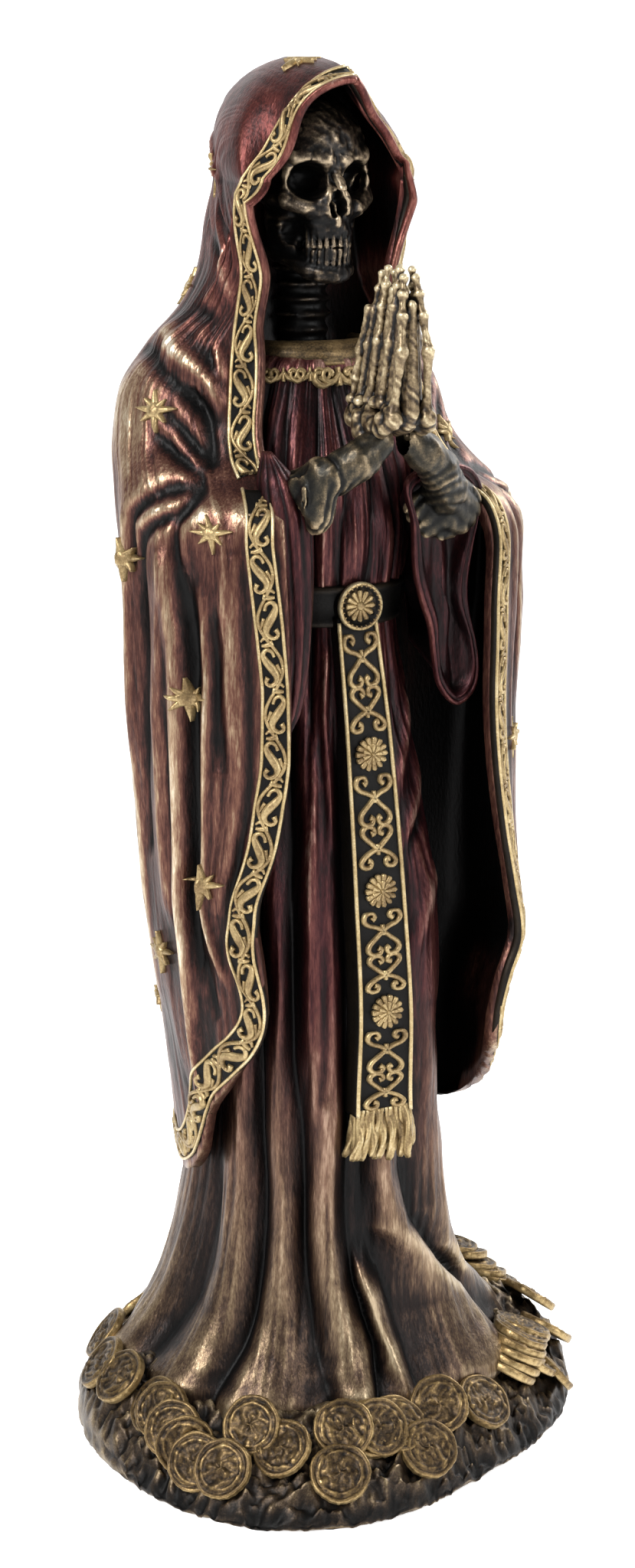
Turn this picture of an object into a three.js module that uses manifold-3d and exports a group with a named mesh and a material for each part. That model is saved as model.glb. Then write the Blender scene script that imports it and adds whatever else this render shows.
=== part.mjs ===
// Praying hooded skeleton saint on a mound of coins, cast in one piece.
// Millimetres, Z up. The figure faces -Y, its left hand is on the +X side, the underside is Z = 0.

import * as THREE from "three";
import Module from "manifold-3d";

const wasm = await Module();
wasm.setup();

// Sizes
const FIGURE_HEIGHT = 273; // from the hem's foot to the crown of the hood
const FIGURE_SETBACK = 6; // the body's axis stands this far behind the middle of the base
const FIGURE_ASIDE = -2.1; // and this far to its right
const FOOT_LEVEL = 12; // the hem's foot above the underside
const BASE_WIDTH = 111.5;
const BASE_DEPTH = 103;
const MOUND_HEIGHT = 17.5;
const COIN_DIAMETER = 12.6;
const COIN_THICKNESS = 1.8;
const CLOAK_THICKNESS = 2.3;
const BUCKLE_DIAMETER = 9.4;
const SASH_THICKNESS = 2.4;

// The carving is measured in 273rds of the figure's height, so its proportions hold at any height.
const CARVING = FIGURE_HEIGHT / 273;
const CLOTH = CLOAK_THICKNESS / CARVING;

const rad = (degrees) => (degrees * Math.PI) / 180;
const clamp = (t, low, high) => Math.min(high, Math.max(low, t));
const mix = (a, b, t) => a + (b - a) * t;
const ease = (t) => t * t * (3 - 2 * t);
const step = (t, low, high) => ease(clamp((t - low) / (high - low), 0, 1));
const bump = (t, middle, width) => Math.exp(-(((t - middle) / width) ** 2));

// A smooth curve through rows of station and values. It never overshoots a row.
function through(rows) {
  const rise = (i, k) => (rows[i + 1][k] - rows[i][k]) / (rows[i + 1][0] - rows[i][0]);
  const last = rows.length - 1;
  const lean = rows.map((row, i) =>
    row.map((_, k) => {
      const before = rise(Math.max(i - 1, 0), k);
      const after = rise(Math.min(i, last - 1), k);
      return before * after > 0 ? (2 * before * after) / (before + after) : 0;
    }),
  );
  return (t) => {
    let i = 0;
    while (i < last - 1 && t > rows[i + 1][0]) i += 1;
    const gap = rows[i + 1][0] - rows[i][0];
    const f = clamp((t - rows[i][0]) / gap, 0, 1);
    const near = (1 + 2 * f) * (1 - f) ** 2;
    const far = f * f * (3 - 2 * f);
    const out = f * (1 - f) ** 2 * gap;
    const into = f * f * (f - 1) * gap;
    return rows[i].map((v, k) => near * v + far * rows[i + 1][k] + out * lean[i][k] + into * lean[i + 1][k]);
  };
}

// A closed body from points and triangles; points that fall together count as one.
function body(points, triangles) {
  const geometry = new THREE.BufferGeometry();
  const position = new Float32Array(points.flat());
  const first = new Map();
  const same = points.map((p, i) => {
    const place = p.map((v) => v.toFixed(4)).join();
    if (!first.has(place)) first.set(place, i);
    return first.get(place);
  });
  const welded = triangles.map((corners) => corners.map((i) => same[i]));
  const kept = welded.filter(([a, b, c]) => a !== b && b !== c && a !== c);
  const volume = kept.reduce((sum, corners) => {
    const [p, q, r] = corners.map((i) => new THREE.Vector3(...points[i]));
    return sum + p.dot(q.cross(r));
  }, 0);
  const turned = volume < 0 ? kept.map(([a, b, c]) => [a, c, b]) : kept;
  geometry.setAttribute("position", new THREE.BufferAttribute(position, 3));
  geometry.setIndex(turned.flat());
  return solid(geometry);
}

// A geometry as a solid that can be joined and cut.
function solid(geometry) {
  const index = geometry.index.array;
  const mesh = new wasm.Mesh({
    numProp: 3,
    vertProperties: Float32Array.from(geometry.attributes.position.array),
    triVerts: Uint32Array.from(index),
  });
  mesh.merge();
  return new wasm.Manifold(mesh);
}

// A body through closed rings that may differ in their number of points; each end is closed flat.
function loft(rings) {
  const points = rings.flat();
  const starts = [];
  rings.reduce((at, ring) => (starts.push(at), at + ring.length), 0);
  const triangles = [];
  for (let i = 0; i < rings.length - 1; i += 1) {
    const [low, high] = [i, i + 1].map((k) => ringIndex(starts[k], rings[k].length));
    triangles.push(...strip(low, high));
  }
  [0, rings.length - 1].forEach((i) => {
    const ring = rings[i];
    const middle = [0, 1, 2].map((k) => ring.reduce((sum, p) => sum + p[k], 0) / ring.length);
    points.push(middle);
    const n = ring.length;
    for (let j = 0; j < n; j += 1) {
      const pair = [starts[i] + j, starts[i] + ((j + 1) % n)];
      triangles.push(i === 0 ? [points.length - 1, pair[1], pair[0]] : [points.length - 1, pair[0], pair[1]]);
    }
  });
  return body(points, triangles);
}

const ringIndex = (start, count) => Array.from({ length: count + 1 }, (_, j) => start + (j % count));

// Triangles between two lines of vertices that run side by side.
function strip(a, b) {
  const triangles = [];
  let [i, j] = [0, 0];
  while (i < a.length - 1 || j < b.length - 1) {
    const nextA = (i + 1) / (a.length - 1);
    const nextB = (j + 1) / (b.length - 1);
    if (j === b.length - 1 || (i < a.length - 1 && nextA <= nextB)) {
      triangles.push([a[i], a[i + 1], b[j]]);
      i += 1;
    } else {
      triangles.push([a[i], b[j + 1], b[j]]);
      j += 1;
    }
  }
  return triangles;
}

// A shell between an outer and an inner sheet of points, closed along their four edges.
function shell(outer, inner) {
  const [m, n] = [outer.length, outer[0].length];
  const [r, s] = [inner.length, inner[0].length];
  const points = [...outer.flat(), ...inner.flat()];
  const out = (i, j) => i * n + j;
  const inn = (i, j) => m * n + i * s + j;
  const triangles = [];
  for (let i = 0; i < m - 1; i += 1) {
    triangles.push(...strip(line(n, (j) => out(i, j)), line(n, (j) => out(i + 1, j))));
  }
  for (let i = 0; i < r - 1; i += 1) {
    triangles.push(...strip(line(s, (j) => inn(i + 1, j)), line(s, (j) => inn(i, j))));
  }
  triangles.push(...strip(line(s, (j) => inn(0, j)), line(n, (j) => out(0, j))));
  triangles.push(...strip(line(n, (j) => out(m - 1, j)), line(s, (j) => inn(r - 1, j))));
  triangles.push(...strip(line(m, (i) => out(i, 0)), line(r, (i) => inn(i, 0))));
  triangles.push(...strip(line(r, (i) => inn(i, s - 1)), line(m, (i) => out(i, n - 1))));
  return body(points, triangles);
}

const line = (count, vertex) => Array.from({ length: count }, (_, i) => vertex(i));

// A round bar along a line of stations, each with its own radius; sides is the number of flats.
function bar(stations, sides, flatten = 1) {
  const centres = stations.map(([x, y, z]) => new THREE.Vector3(x, y, z));
  const whole = new THREE.Vector3().subVectors(centres.at(-1), centres[0]).normalize();
  const guide = Math.abs(whole.x) < 0.8 ? new THREE.Vector3(1, 0, 0) : new THREE.Vector3(0, 0, 1);
  const rings = stations.map(([, , , radius], i) => {
    const ahead = centres[Math.min(i + 1, centres.length - 1)];
    const behind = centres[Math.max(i - 1, 0)];
    const along = new THREE.Vector3().subVectors(ahead, behind).normalize();
    const side = new THREE.Vector3().crossVectors(guide, along).normalize();
    const thin = new THREE.Vector3().crossVectors(along, side);
    return line(sides, (j) => {
      const turn = (2 * Math.PI * (j + 0.5)) / sides;
      const p = centres[i].clone();
      p.addScaledVector(side, radius * Math.cos(turn));
      p.addScaledVector(thin, radius * flatten * Math.sin(turn));
      return p.toArray();
    });
  });
  return loft(rings);
}

const joined = (bodies) => wasm.Manifold.union(bodies);

// Folds of cloth: rounded ridges along the given lines, with a sharp valley halfway between each pair.
function folds(at, ridges) {
  let i = 0;
  while (i < ridges.length - 2 && at > ridges[i + 1]) i += 1;
  const f = clamp((at - ridges[i]) / (ridges[i + 1] - ridges[i]), 0, 1);
  return Math.abs(Math.cos(Math.PI * f)) ** 0.85;
}

// Cloak
// Level sections: height, middle, right and left half width, reach to the back, reach to the front,
// and the bearing from the back of the right and of the left front edge.
const cloakSection = through([
  [40, -7.5, 30.5, 31.2, 35, 27, 125, 121],
  [64, -7.5, 33.2, 34.5, 34.8, 29.5, 129, 122],
  [78, -7.5, 35.5, 35.4, 34.5, 31.5, 131, 125],
  [88, -7.5, 37, 37.6, 34.5, 33, 134, 124],
  [97, -7.2, 37.8, 40.8, 34, 34, 133.5, 121],
  [108, -6.3, 38.5, 40.3, 33, 33.5, 132.5, 126],
  [120, -5, 39.2, 40.3, 32, 33, 140, 133],
  [135, -3.5, 40.2, 40.8, 30.7, 33, 147, 139],
  [150, -2, 41, 42, 29.5, 33, 149.5, 141.5],
  [165, -1, 41, 43.5, 29, 32.5, 150, 141.5],
  [178, 0, 41.6, 44, 28.5, 32, 150.5, 139.5],
  [187, 1.5, 41.6, 41.5, 27.5, 30, 152, 141],
  [193, 4, 41.3, 36.5, 24.5, 25, 153, 147],
  [199, 8, 40, 33.5, 22, 24, 152, 150],
  [209, 10, 37.5, 30.5, 21.5, 23, 149, 146],
  [218, 8, 31.5, 25, 23.5, 19, 144, 140],
  [226, 3, 25, 18.5, 26.5, 15, 140, 136],
  [234, -3, 22.3, 16.7, 32, 10.5, 133, 128],
  [242, -6, 21.3, 16.8, 34.5, 8, 112, 108],
  [250, -9, 20.2, 16.8, 36.4, 8, 90, 90],
]);
// The hood fans out from the cheeks: turn up from level, reach, right and left half width.
const CHEEK_Y = -9;
const CHEEK_Z = 250;
const HOOD_TURN = 102.6;
const hoodSection = through([
  [0, 36.4, 20.2, 16.8],
  [30, 36, 21.4, 17.8],
  [53, 30, 21.2, 18.4],
  [80, 24, 20, 17.8],
  [HOOD_TURN, 22, 19.4, 16.8],
]);
const CHEEK_HALF = [20.2, 16.8]; // the sides meet the cheeks at these widths
// The hood's opening: bearing from its peak, then share of the half width and of the reach.
const rimRight = through([
  [0, 0, 1],
  [15, 0.2, 0.97],
  [30, 0.42, 0.85],
  [42, 0.58, 0.68],
  [52, 0.65, 0.5],
  [62, 0.7, 0.33],
  [72, 0.79, 0.17],
  [82, 0.93, 0.04],
  [90, 1, 0],
]);
const rimLeft = through([
  [0, 0, 1],
  [15, 0.17, 0.86],
  [30, 0.32, 0.67],
  [42, 0.47, 0.55],
  [52, 0.61, 0.44],
  [62, 0.74, 0.32],
  [72, 0.87, 0.19],
  [82, 0.97, 0.07],
  [90, 1, 0],
]);
// Height of the hem along the cloak, from the right front edge to the left one.
const cloakHem = through([
  [-1, 88],
  [-0.96, 80.5],
  [-0.85, 71.5],
  [-0.74, 64],
  [-0.67, 54],
  [-0.52, 47.5],
  [-0.3, 50],
  [0, 53],
  [0.3, 52],
  [0.52, 54],
  [0.66, 59],
  [0.8, 66],
  [0.93, 73],
  [1, 85],
]);
const HEM_SWEEP = 130; // below this height the rows bend to follow the hem

// Bearing from the back, in degrees, of a share of the way to a front edge.
function cloakBearing(share, height, edge) {
  const q = Math.abs(share);
  const crowd = mix(4, 1, clamp((height - 185) / 41, 0, 1));
  return 150 * q - (150 - edge) * q ** crowd;
}

// A point of the cloak's smooth form, drawn in by inset; up runs past the cheeks into the hood's turn.
function cloakForm(share, up, inset) {
  if (up > CHEEK_Z) {
    const turn = up - CHEEK_Z;
    const [, reach, ...sides] = hoodSection(turn);
    const bearing = 90 * Math.abs(share);
    const side = share < 0 ? 0 : 1;
    const half = mix(sides[side], CHEEK_HALF[side], Math.abs(share) ** 6) - inset;
    const rim = (share < 0 ? rimRight : rimLeft)(bearing);
    const nearRim = step(turn, share < 0 ? 66 : 40, share < 0 ? HOOD_TURN : 96);
    const across = mix(Math.sin(rad(bearing)), rim[1], nearRim);
    const out = mix(Math.cos(rad(bearing)), rim[2], nearRim) * (reach - inset);
    const level = [half * across * Math.sign(share), CHEEK_Y + out * Math.cos(rad(turn))];
    return [...level, CHEEK_Z + out * Math.sin(rad(turn))];
  }
  const [, middle, right, left, back, front, edgeRight, edgeLeft] = cloakSection(up);
  const bearing = rad(cloakBearing(share, up, share < 0 ? edgeRight : edgeLeft));
  const half = (share < 0 ? right : left) - inset;
  const depth = (Math.cos(bearing) > 0 ? back : front) - inset;
  return [Math.sign(share) * half * Math.sin(bearing), middle + depth * Math.cos(bearing), up];
}

const cloakHeight = (share, up) => {
  if (up >= HEM_SWEEP) return up;
  const down = (HEM_SWEEP - up) / HEM_SWEEP;
  return mix(HEM_SWEEP, cloakHem(share)[1], down);
};

// Long folds of the cloak, as shares of the way to the front edge.
const LONG_FOLDS = [0, 0.13, 0.26, 0.38, 0.49, 0.6, 0.694, 0.745, 0.826, 0.9, 1.02];
// Creases: share and height of each end, depth, width. The first five spring from the crook of the elbow.
const CREASES = [
  [0.87, 193, 0.67, 187, -2.6, 2.6],
  [0.67, 187, 0.628, 176, -2, 2.4],
  [0.87, 194, 0.75, 202, -1.5, 2.6],
  [0.88, 196, 0.8, 206, -1.5, 2.4],
  [0.89, 197, 0.84, 212, -1.6, 2.6],
  [0.55, 222, 0.87, 214, 1.8, 2.4],
  [0.87, 214, 0.94, 206, 1.5, 2.2],
  [0.7, 229, 0.9, 217, 1.3, 2.4],
  [0.9, 217, 0.95, 209, 1.2, 2.2],
  [0.6, 245, 0.72, 229, 1.2, 3],
];

function crease(share, up, [s0, u0, s1, u1]) {
  const [x, y] = [(share - s0) * 99, up - u0];
  const [dx, dy] = [(s1 - s0) * 99, u1 - u0];
  const f = clamp((x * dx + y * dy) / (dx * dx + dy * dy), 0, 1);
  return Math.hypot(x - f * dx, y - f * dy);
}

// How far the cloak's folds stand out from its smooth form.
function cloakRelief(share, up) {
  const q = Math.abs(share);
  const plain = step(q, 0.9, 0.93);
  const long = 1.7 * step(up, 50, 95) * (1 - step(up, 178, 196)) + 0.7 * (1 - step(up, 50, 95));
  const hood = 0.9 * step(up, 205, 225) * (1 - step(up, 262, 300)) * (1 - step(q, 0.75, 0.95));
  const ridges = (long * (1 - plain) + hood) * (folds(q, LONG_FOLDS) - 0.35);
  const lines = CREASES.reduce((sum, row) => sum + row[4] * bump(crease(q, up, row), 0, row[5]), 0);
  const shoulder = 1.2 * bump(up, 187, 7) * step(q, 0.45, 0.7);
  const edge = 0.5 * plain * (1 - step(up, 186, 196));
  const cheek = 1 - step(up, 232, CHEEK_Z) * step(q, 0.7, 0.95);
  return (ridges + lines + shoulder + edge) * cheek * (1 - step(up, 300, 340));
}

function cloakSheet(shares, ups, inset, relief) {
  return ups.map((up) =>
    shares.map((share) => {
      const height = cloakHeight(share, up);
      const p = cloakForm(share, height, inset - (relief ? cloakRelief(share, height) : 0));
      const wall = inset > 0 ? mix(4, 8, step(height, 200, 225)) : 99;
      if (p[1] <= wall) return p;
      if (height > CHEEK_Z) {
        const share0 = (wall - CHEEK_Y) / (p[1] - CHEEK_Y);
        return [p[0], wall, CHEEK_Z + (p[2] - CHEEK_Z) * share0];
      }
      return [p[0], wall, p[2]];
    }),
  );
}

function cloak() {
  const back = [0.065, 0.13, 0.195, 0.26, 0.32, 0.38, 0.435, 0.49, 0.55, 0.6];
  const right = [0.647, 0.672, 0.694, 0.72, 0.745, 0.786, 0.826, 0.845, 0.863, 0.88, 0.9, 0.93, 1];
  const left = [0.647, 0.694, 0.72, 0.745, 0.786, 0.826, 0.863, 0.9, 1];
  const shares = [...[...back, ...right].map((s) => -s).reverse(), 0, ...back, ...left];
  const fan = [HOOD_TURN, 92, 76, 54, 32, 12].map((turn) => CHEEK_Z + turn);
  const upper = [250, 240, 231, 222, 214, 207, 200, 195, 191, 187, 182, 174];
  const lower = [154, HEM_SWEEP, 92, 60, 32, 14, 0];
  const ups = [...fan, ...upper, ...lower];
  const few = [0.3, 0.5, 0.62, 0.74, 0.84, 0.93, 1];
  const innerShares = [...few.map((s) => -s).reverse(), 0, ...few];
  const innerUps = [352.6, 332, 300, 272, 250, 234, 216, 202, 192, 182, 156, HEM_SWEEP, 64, 24, 0];
  return shell(cloakSheet(shares, ups, 0, true), cloakSheet(innerShares, innerUps, CLOTH, false));
}

// Dress
// Level sections: height, half width, reach to the front, reach to the back, depth of the folds.
const dressSection = through([
  [-5, 37, 35, 38, 2],
  [2, 43, 38, 42, 3.4],
  [5, 42.4, 37.6, 41.5, 4],
  [9, 39, 35.4, 38.5, 4.6],
  [14, 35, 32.6, 35, 4.8],
  [22, 30.8, 30.2, 32, 4.8],
  [34, 27.2, 28.6, 29.6, 4.6],
  [50, 24.8, 27.4, 27.4, 4.4],
  [78, 23.8, 26.6, 25.5, 3.8],
  [105, 23.6, 25.2, 24.5, 3.2],
  [125, 20.8, 23, 22, 2.6],
  [143, 17.8, 20.4, 20, 2],
  [158, 15.6, 18, 18, 1.3],
  [167, 15.2, 17.4, 18, 0.8],
  [171, 16.6, 19, 19, 1],
  [180, 17.6, 20, 20, 1.2],
  [192, 19, 18, 18, 1.1],
  [203, 20, 13, 16, 0.9],
  [211, 18.5, 8.6, 14, 0.7],
  [217, 14, 5.5, 12, 0.3],
]);
// Bearings from the front of the ridges of the skirt and of the gathers above and below the belt.
const SKIRT_REAR = [106, 130, 155, 180, 205];
const SKIRT_FRONT = [-80, -62, -41.5, -22, 3, 34, 58, 82];
const SKIRT_FOLDS = [...SKIRT_REAR.map((b) => -b).reverse(), ...SKIRT_FRONT, ...SKIRT_REAR];
const WAIST_FOLDS = [-198, ...line(21, (i) => 18 * i - 180), 198];

function dressRadius(bearing, height, more) {
  const [, half, front, back, depth] = dressSection(height);
  const turn = rad(bearing);
  const reach = Math.cos(turn) > 0 ? front : back;
  const base = 1 / Math.hypot(Math.sin(turn) / (half + more), Math.cos(turn) / (reach + more));
  const gathered = step(height, 120, 158);
  const fold = mix(folds(bearing, SKIRT_FOLDS), folds(bearing, WAIST_FOLDS), gathered);
  const slim = 1.3 * bump(bearing, 72, 34) * step(height, 12, 24) * (1 - step(height, 60, 90));
  return base + (more > 0 ? 0 : depth * (fold - 0.45) - slim);
}

function dressRing(bearings, height, more = 0) {
  return bearings.map((bearing) => {
    const r = dressRadius(bearing, height, more);
    return [r * Math.sin(rad(bearing)), -r * Math.cos(rad(bearing)), height];
  });
}

function dress() {
  const folded = SKIRT_FOLDS.slice(1, -1);
  const skirt = folded.flatMap((a, i) => {
    const b = SKIRT_FOLDS[i + 2];
    if (i === folded.length - 1) return [];
    return Math.abs(a + b) > 210 ? [a, mix(a, b, 0.5)] : [a, mix(a, b, 0.3), mix(a, b, 0.5), mix(a, b, 0.7)];
  });
  const gathers = WAIST_FOLDS.slice(1, -1).flatMap((a, i) => {
    const b = WAIST_FOLDS[i + 2];
    return a < -70 || a > 70 ? [a] : [a, mix(a, b, 0.5)];
  });
  const low = [-5, 2, 6, 11, 18, 29, 46, 70, 98, 120, 140].map((h) => dressRing(skirt, h));
  const high = [154, 166, 172, 180, 190, 198, 205, 211, 217].map((h) => dressRing(gathers, h));
  return loft([...low, ...high]);
}

function belt() {
  const bearings = line(18, (j) => (j > 9 ? 20 * j - 360 : 20 * j));
  const rows = [
    [162.5, 0.3],
    [163.3, 1.5],
    [170.5, 1.5],
    [171.3, 0.3],
  ];
  return loft(rows.map(([height, more]) => dressRing(bearings, height, more)));
}

// Sash
// Height, middle, width, and how far its face stands in front of the body's axis.
const sashSection = through([
  [56, 0.9, 14.5, 30.4],
  [64, 0.7, 13, 30],
  [85, 1.4, 12.3, 29.2],
  [110, 0.8, 11.6, 27.4],
  [139, 0.4, 10.4, 23.6],
  [165, -0.8, 8.8, 20.2],
]);

function sash() {
  const thick = SASH_THICKNESS / CARVING;
  const rings = [54.5, 57, 64, 75, 85, 98, 110, 125, 139, 152, 165].map((height) => {
    const [, middle, width, face] = sashSection(height);
    const half = (width / 2) * (height < 64 ? mix(0.92, 1, (height - 54.5) / 9.5) : 1);
    const bow = 0.5;
    return [
      [middle - half, -face + bow, height],
      [middle, -face, height],
      [middle + half, -face + bow, height],
      [middle + half, -face + bow + thick, height],
      [middle, -face + thick + 4, height],
      [middle - half, -face + bow + thick, height],
    ];
  });
  return loft(rings);
}

function buckle() {
  const radius = BUCKLE_DIAMETER / 2 / CARVING;
  const ring = (r, y) =>
    line(18, (j) => [r * Math.cos(rad(20 * j)) - 0.6, y, 167.3 + r * Math.sin(rad(20 * j))]);
  return loft([ring(radius, -17), ring(radius, -20.6), ring(radius - 0.7, -21.2)]);
}

// Collar
function collar() {
  const ring = (height, radius) =>
    line(18, (j) => [radius * Math.sin(rad(20 * j)) * 1.06, 5.5 - radius * Math.cos(rad(20 * j)), height]);
  return loft([ring(208, 12.4), ring(214, 13.2), ring(218.6, 11.6), ring(218.6, 9.6), ring(214, 8)]);
}

function neck() {
  return bar([[0, 7, 212, 5], [0, 6, 218, 3.9], [0, 5, 226, 3.7], [0, 4.5, 236, 4]], 10);
}

// Skull
const ellipsoid = (p, c, r) => {
  const q = p.map((v, k) => (v - c[k]) / r[k]);
  const size = Math.hypot(...q);
  return (size - 1) * Math.min(...r);
};
const capsule = (p, a, b, r) => {
  const d = a.map((v, k) => b[k] - v);
  const e = p.map((v, k) => v - a[k]);
  const f = clamp((d[0] * e[0] + d[1] * e[1] + d[2] * e[2]) / (d[0] ** 2 + d[1] ** 2 + d[2] ** 2), 0, 1);
  return Math.hypot(...e.map((v, k) => v - f * d[k])) - r;
};
const blend = (a, b, k) => {
  const h = clamp(0.5 + (0.5 * (b - a)) / k, 0, 1);
  return mix(b, a, h) - k * h * (1 - h);
};

// Distance from the skull's surface, before its hollows are cut. Its two sides are alike.
function skullDistance([x0, y, z]) {
  const p = [Math.abs(x0), y, z];
  let d = ellipsoid(p, [0, 5, 256.5], [10.6, 14, 11.5]);
  d = blend(d, ellipsoid(p, [0, -3, 255], [8.8, 6.4, 8.6]), 2);
  d = blend(d, capsule(p, [1.6, -8.6, 254.6], [7.6, -5.8, 254.9], 2), 1);
  d = blend(d, capsule(p, [9, -4.4, 246.2], [5, -7.6, 244.8], 2), 1);
  d = blend(d, capsule(p, [9.6, -3.4, 246.4], [10, 5, 247], 1.2), 1);
  d = blend(d, ellipsoid(p, [0, -4.8, 245], [6.4, 6, 6.4]), 1);
  d = blend(d, capsule(p, [0, -8.6, 251], [0, -10.6, 248], 1.2), 0.8);
  d = blend(d, ellipsoid(p, [0, -4.6, 238.6], [5.2, 5.4, 4]), 0.8);
  d = blend(d, ellipsoid(p, [0, -4.4, 233], [5.4, 5, 3.4]), 0.8);
  d = blend(d, capsule(p, [3.8, -5.2, 232.6], [8, 2.4, 236], 1.7), 1);
  return blend(d, capsule(p, [8, 2.4, 236], [8.8, 3.4, 246], 1.5), 1);
}

// How far forward the skull reaches beside the middle plane at a height, as a place on Y.
function skullFront(x, z) {
  let y = -16;
  for (let i = 0; i < 120 && y < SKULL_BACK; i += 1) {
    const d = skullDistance([x, y, z]);
    if (d < 0.02) break;
    y += Math.max(0.05, d * 0.6);
  }
  return Math.min(y, SKULL_BACK);
}

// The head by level sections; its back is hidden in the hood's back wall.
const SKULL_BACK = 9;
const SKULL_LEVELS = [
  229.8, 231.4, 234, 237, 240.6, 242.6, 244.6, 246.6, 249, 251.6, 253.4, 255.6, 258.6, 262, 265.4, 267.6,
];
const SKULL_SHARES = [0.18, 0.4, 0.64, 0.86, 1];

function head() {
  const shares = [...SKULL_SHARES.map((s) => -s).reverse(), 0, ...SKULL_SHARES];
  const rings = SKULL_LEVELS.map((z) => {
    let half = 12;
    while (half > 1 && skullFront(half, z) >= 5) half -= 0.1;
    const front = shares.map((share) => [half * share, skullFront(half * share, z), z]);
    return [...front, [half, SKULL_BACK, z], [-half, SKULL_BACK, z]];
  });
  return loft(rings);
}

// A hollow cut from the front, narrowing to its floor, whose place on Y is given last but one.
function hollow([x, z], wide, tall, floor, sides) {
  const ring = (y, share) =>
    line(sides, (j) => {
      const turn = rad((360 * (j + 0.5)) / sides);
      return [x + wide * share * Math.cos(turn), y, z + tall * share * Math.sin(turn)];
    });
  return loft([ring(-16, 1.06), ring(-8, 1), ring(floor, 0.7)]);
}

// A row of teeth round the front of the jaw between two heights.
function teeth(low, high) {
  const ring = (z) => {
    const front = line(17, (i) => {
      const x = (i - 8) * 0.53;
      return [x, -9.7 + 0.1 * x * x + (i % 2 ? 0 : 0.5), z];
    });
    return [...front, [3.4, -4, z], [-3.4, -4, z]];
  };
  return loft([ring(low), ring(high)]);
}

function skull() {
  const sockets = [-1, 1].map((side) => hollow([5.2 * side, 250.3], 2.95, 3.5, -2.6, 8));
  const nose = hollow([0, 245.9], 1.8, 2.5, -6.6, 6);
  const mouth = loft([235.8, 238.8].map((z) => [[-7, -14, z], [7, -14, z], [7, -7.6, z], [-7, -7.6, z]]));
  const bare = head().subtract(joined([...sockets, nose, mouth]));
  return joined([bare, teeth(237.35, 240.4), teeth(234.2, 237.05)]);
}

// Hands
// Each finger: its foot, its knuckle and its tip, as distance forward and height, and its size.
const FINGERS = [
  [40, 208, 42, 220, 39.6, 233.6, 1.5],
  [35.2, 209.5, 37.4, 221.5, 38.2, 235, 1.45],
  [30.4, 209.5, 32.6, 221.5, 33.4, 235, 1.4],
  [26.6, 209.5, 28.6, 220.5, 31, 234, 1.3],
];
// How a finger swells at its joints: share of its length and of its size.
const BEADS = [
  [0, 1.15],
  [0.26, 0.8],
  [0.48, 1.15],
  [0.61, 0.8],
  [0.74, 1.1],
  [0.86, 0.8],
  [1, 0.8],
];
const THUMB = [
  [3.9, -22.4, 207, 1.4],
  [4.1, -24, 213, 1.05],
  [4, -24.8, 217.5, 1.3],
  [3.7, -26.2, 223, 0.9],
  [3.4, -27, 227, 0.7],
];
// Bones of the wrist: out from the middle, distance forward, height, size.
const WRIST = [
  [3.9, 24.2, 205.6, 2.3],
  [4.4, 28.6, 204.4, 2.5],
  [4.4, 33, 206.2, 2.4],
  [4.2, 37.2, 204.4, 2.4],
  [3.6, 40.4, 206.8, 2.1],
];

function hand(side) {
  const pieces = FINGERS.map(([y0, z0, y1, z1, y2, z2, r]) => {
    const at = (f, radius) => {
      const g = f < 0.5 ? f * 2 : f * 2 - 1;
      const y = f < 0.5 ? mix(y0, y1, g) : mix(y1, y2, g);
      const z = f < 0.5 ? mix(z0, z1, g) : mix(z1, z2, g);
      return [side * mix(3.7, 1.5, f ** 1.8), -y, z, radius];
    };
    return bar(BEADS.map(([f, share]) => at(f, r * share)), 5);
  });
  const thumb = bar(THUMB.map(([x, y, z, r]) => [side * x, y, z, r]), 5);
  const wrist = WRIST.map(([x, y, z, r]) =>
    bar([[side * x, -y, z - r, r * 0.6], [side * x, -y, z, r], [side * x, -y, z + r, r * 0.6]], 6),
  );
  return [...pieces, thumb, ...wrist];
}

// The palms lie flat together and are one body: height, reach at the rear and at the front, half thickness.
function palms() {
  const rows = [
    [203.2, 25.4, 38.4, 3.4],
    [206, 22.8, 41.4, 4],
    [209.5, 24.6, 41.6, 3],
    [216, 26.2, 42.6, 2.4],
    [224, 27.8, 42, 2],
    [232, 30.8, 40, 1.5],
  ];
  const rings = rows.map(([z, rear, fore, thick]) => {
    const left = [[thick * 0.7, -fore + 0.6], [thick, -(rear + fore) / 2], [thick * 0.7, -rear - 0.6]];
    const right = left.map(([x, y]) => [-x, y]).reverse();
    return [[0, -fore], ...left, [0, -rear], ...right].map(([x, y]) => [x, y, z]);
  });
  return loft(rings);
}

// Sleeves and forearms, with the right one first.
const RIGHT_ARM = [
  [-3.4, -35, 205, 3.8],
  [-7.4, -33.6, 200.8, 4.1],
  [-11.2, -31.6, 197, 4.2],
  [-11.8, -31.2, 196.4, 5],
  [-14.6, -29.6, 193, 6.2],
  [-17, -27.6, 188.4, 6.4],
  [-20, -24, 184, 6],
  [-24, -16, 182, 6],
];
const LEFT_ARM = [
  [3.4, -35, 205, 3.8],
  [7.2, -33.8, 200.4, 4.3],
  [11.2, -31.2, 195.4, 4.8],
  [15, -28, 191, 5.4],
  [19, -24.6, 187.4, 7],
  [24, -19, 184, 8],
  [28, -10, 182, 8],
];

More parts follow.
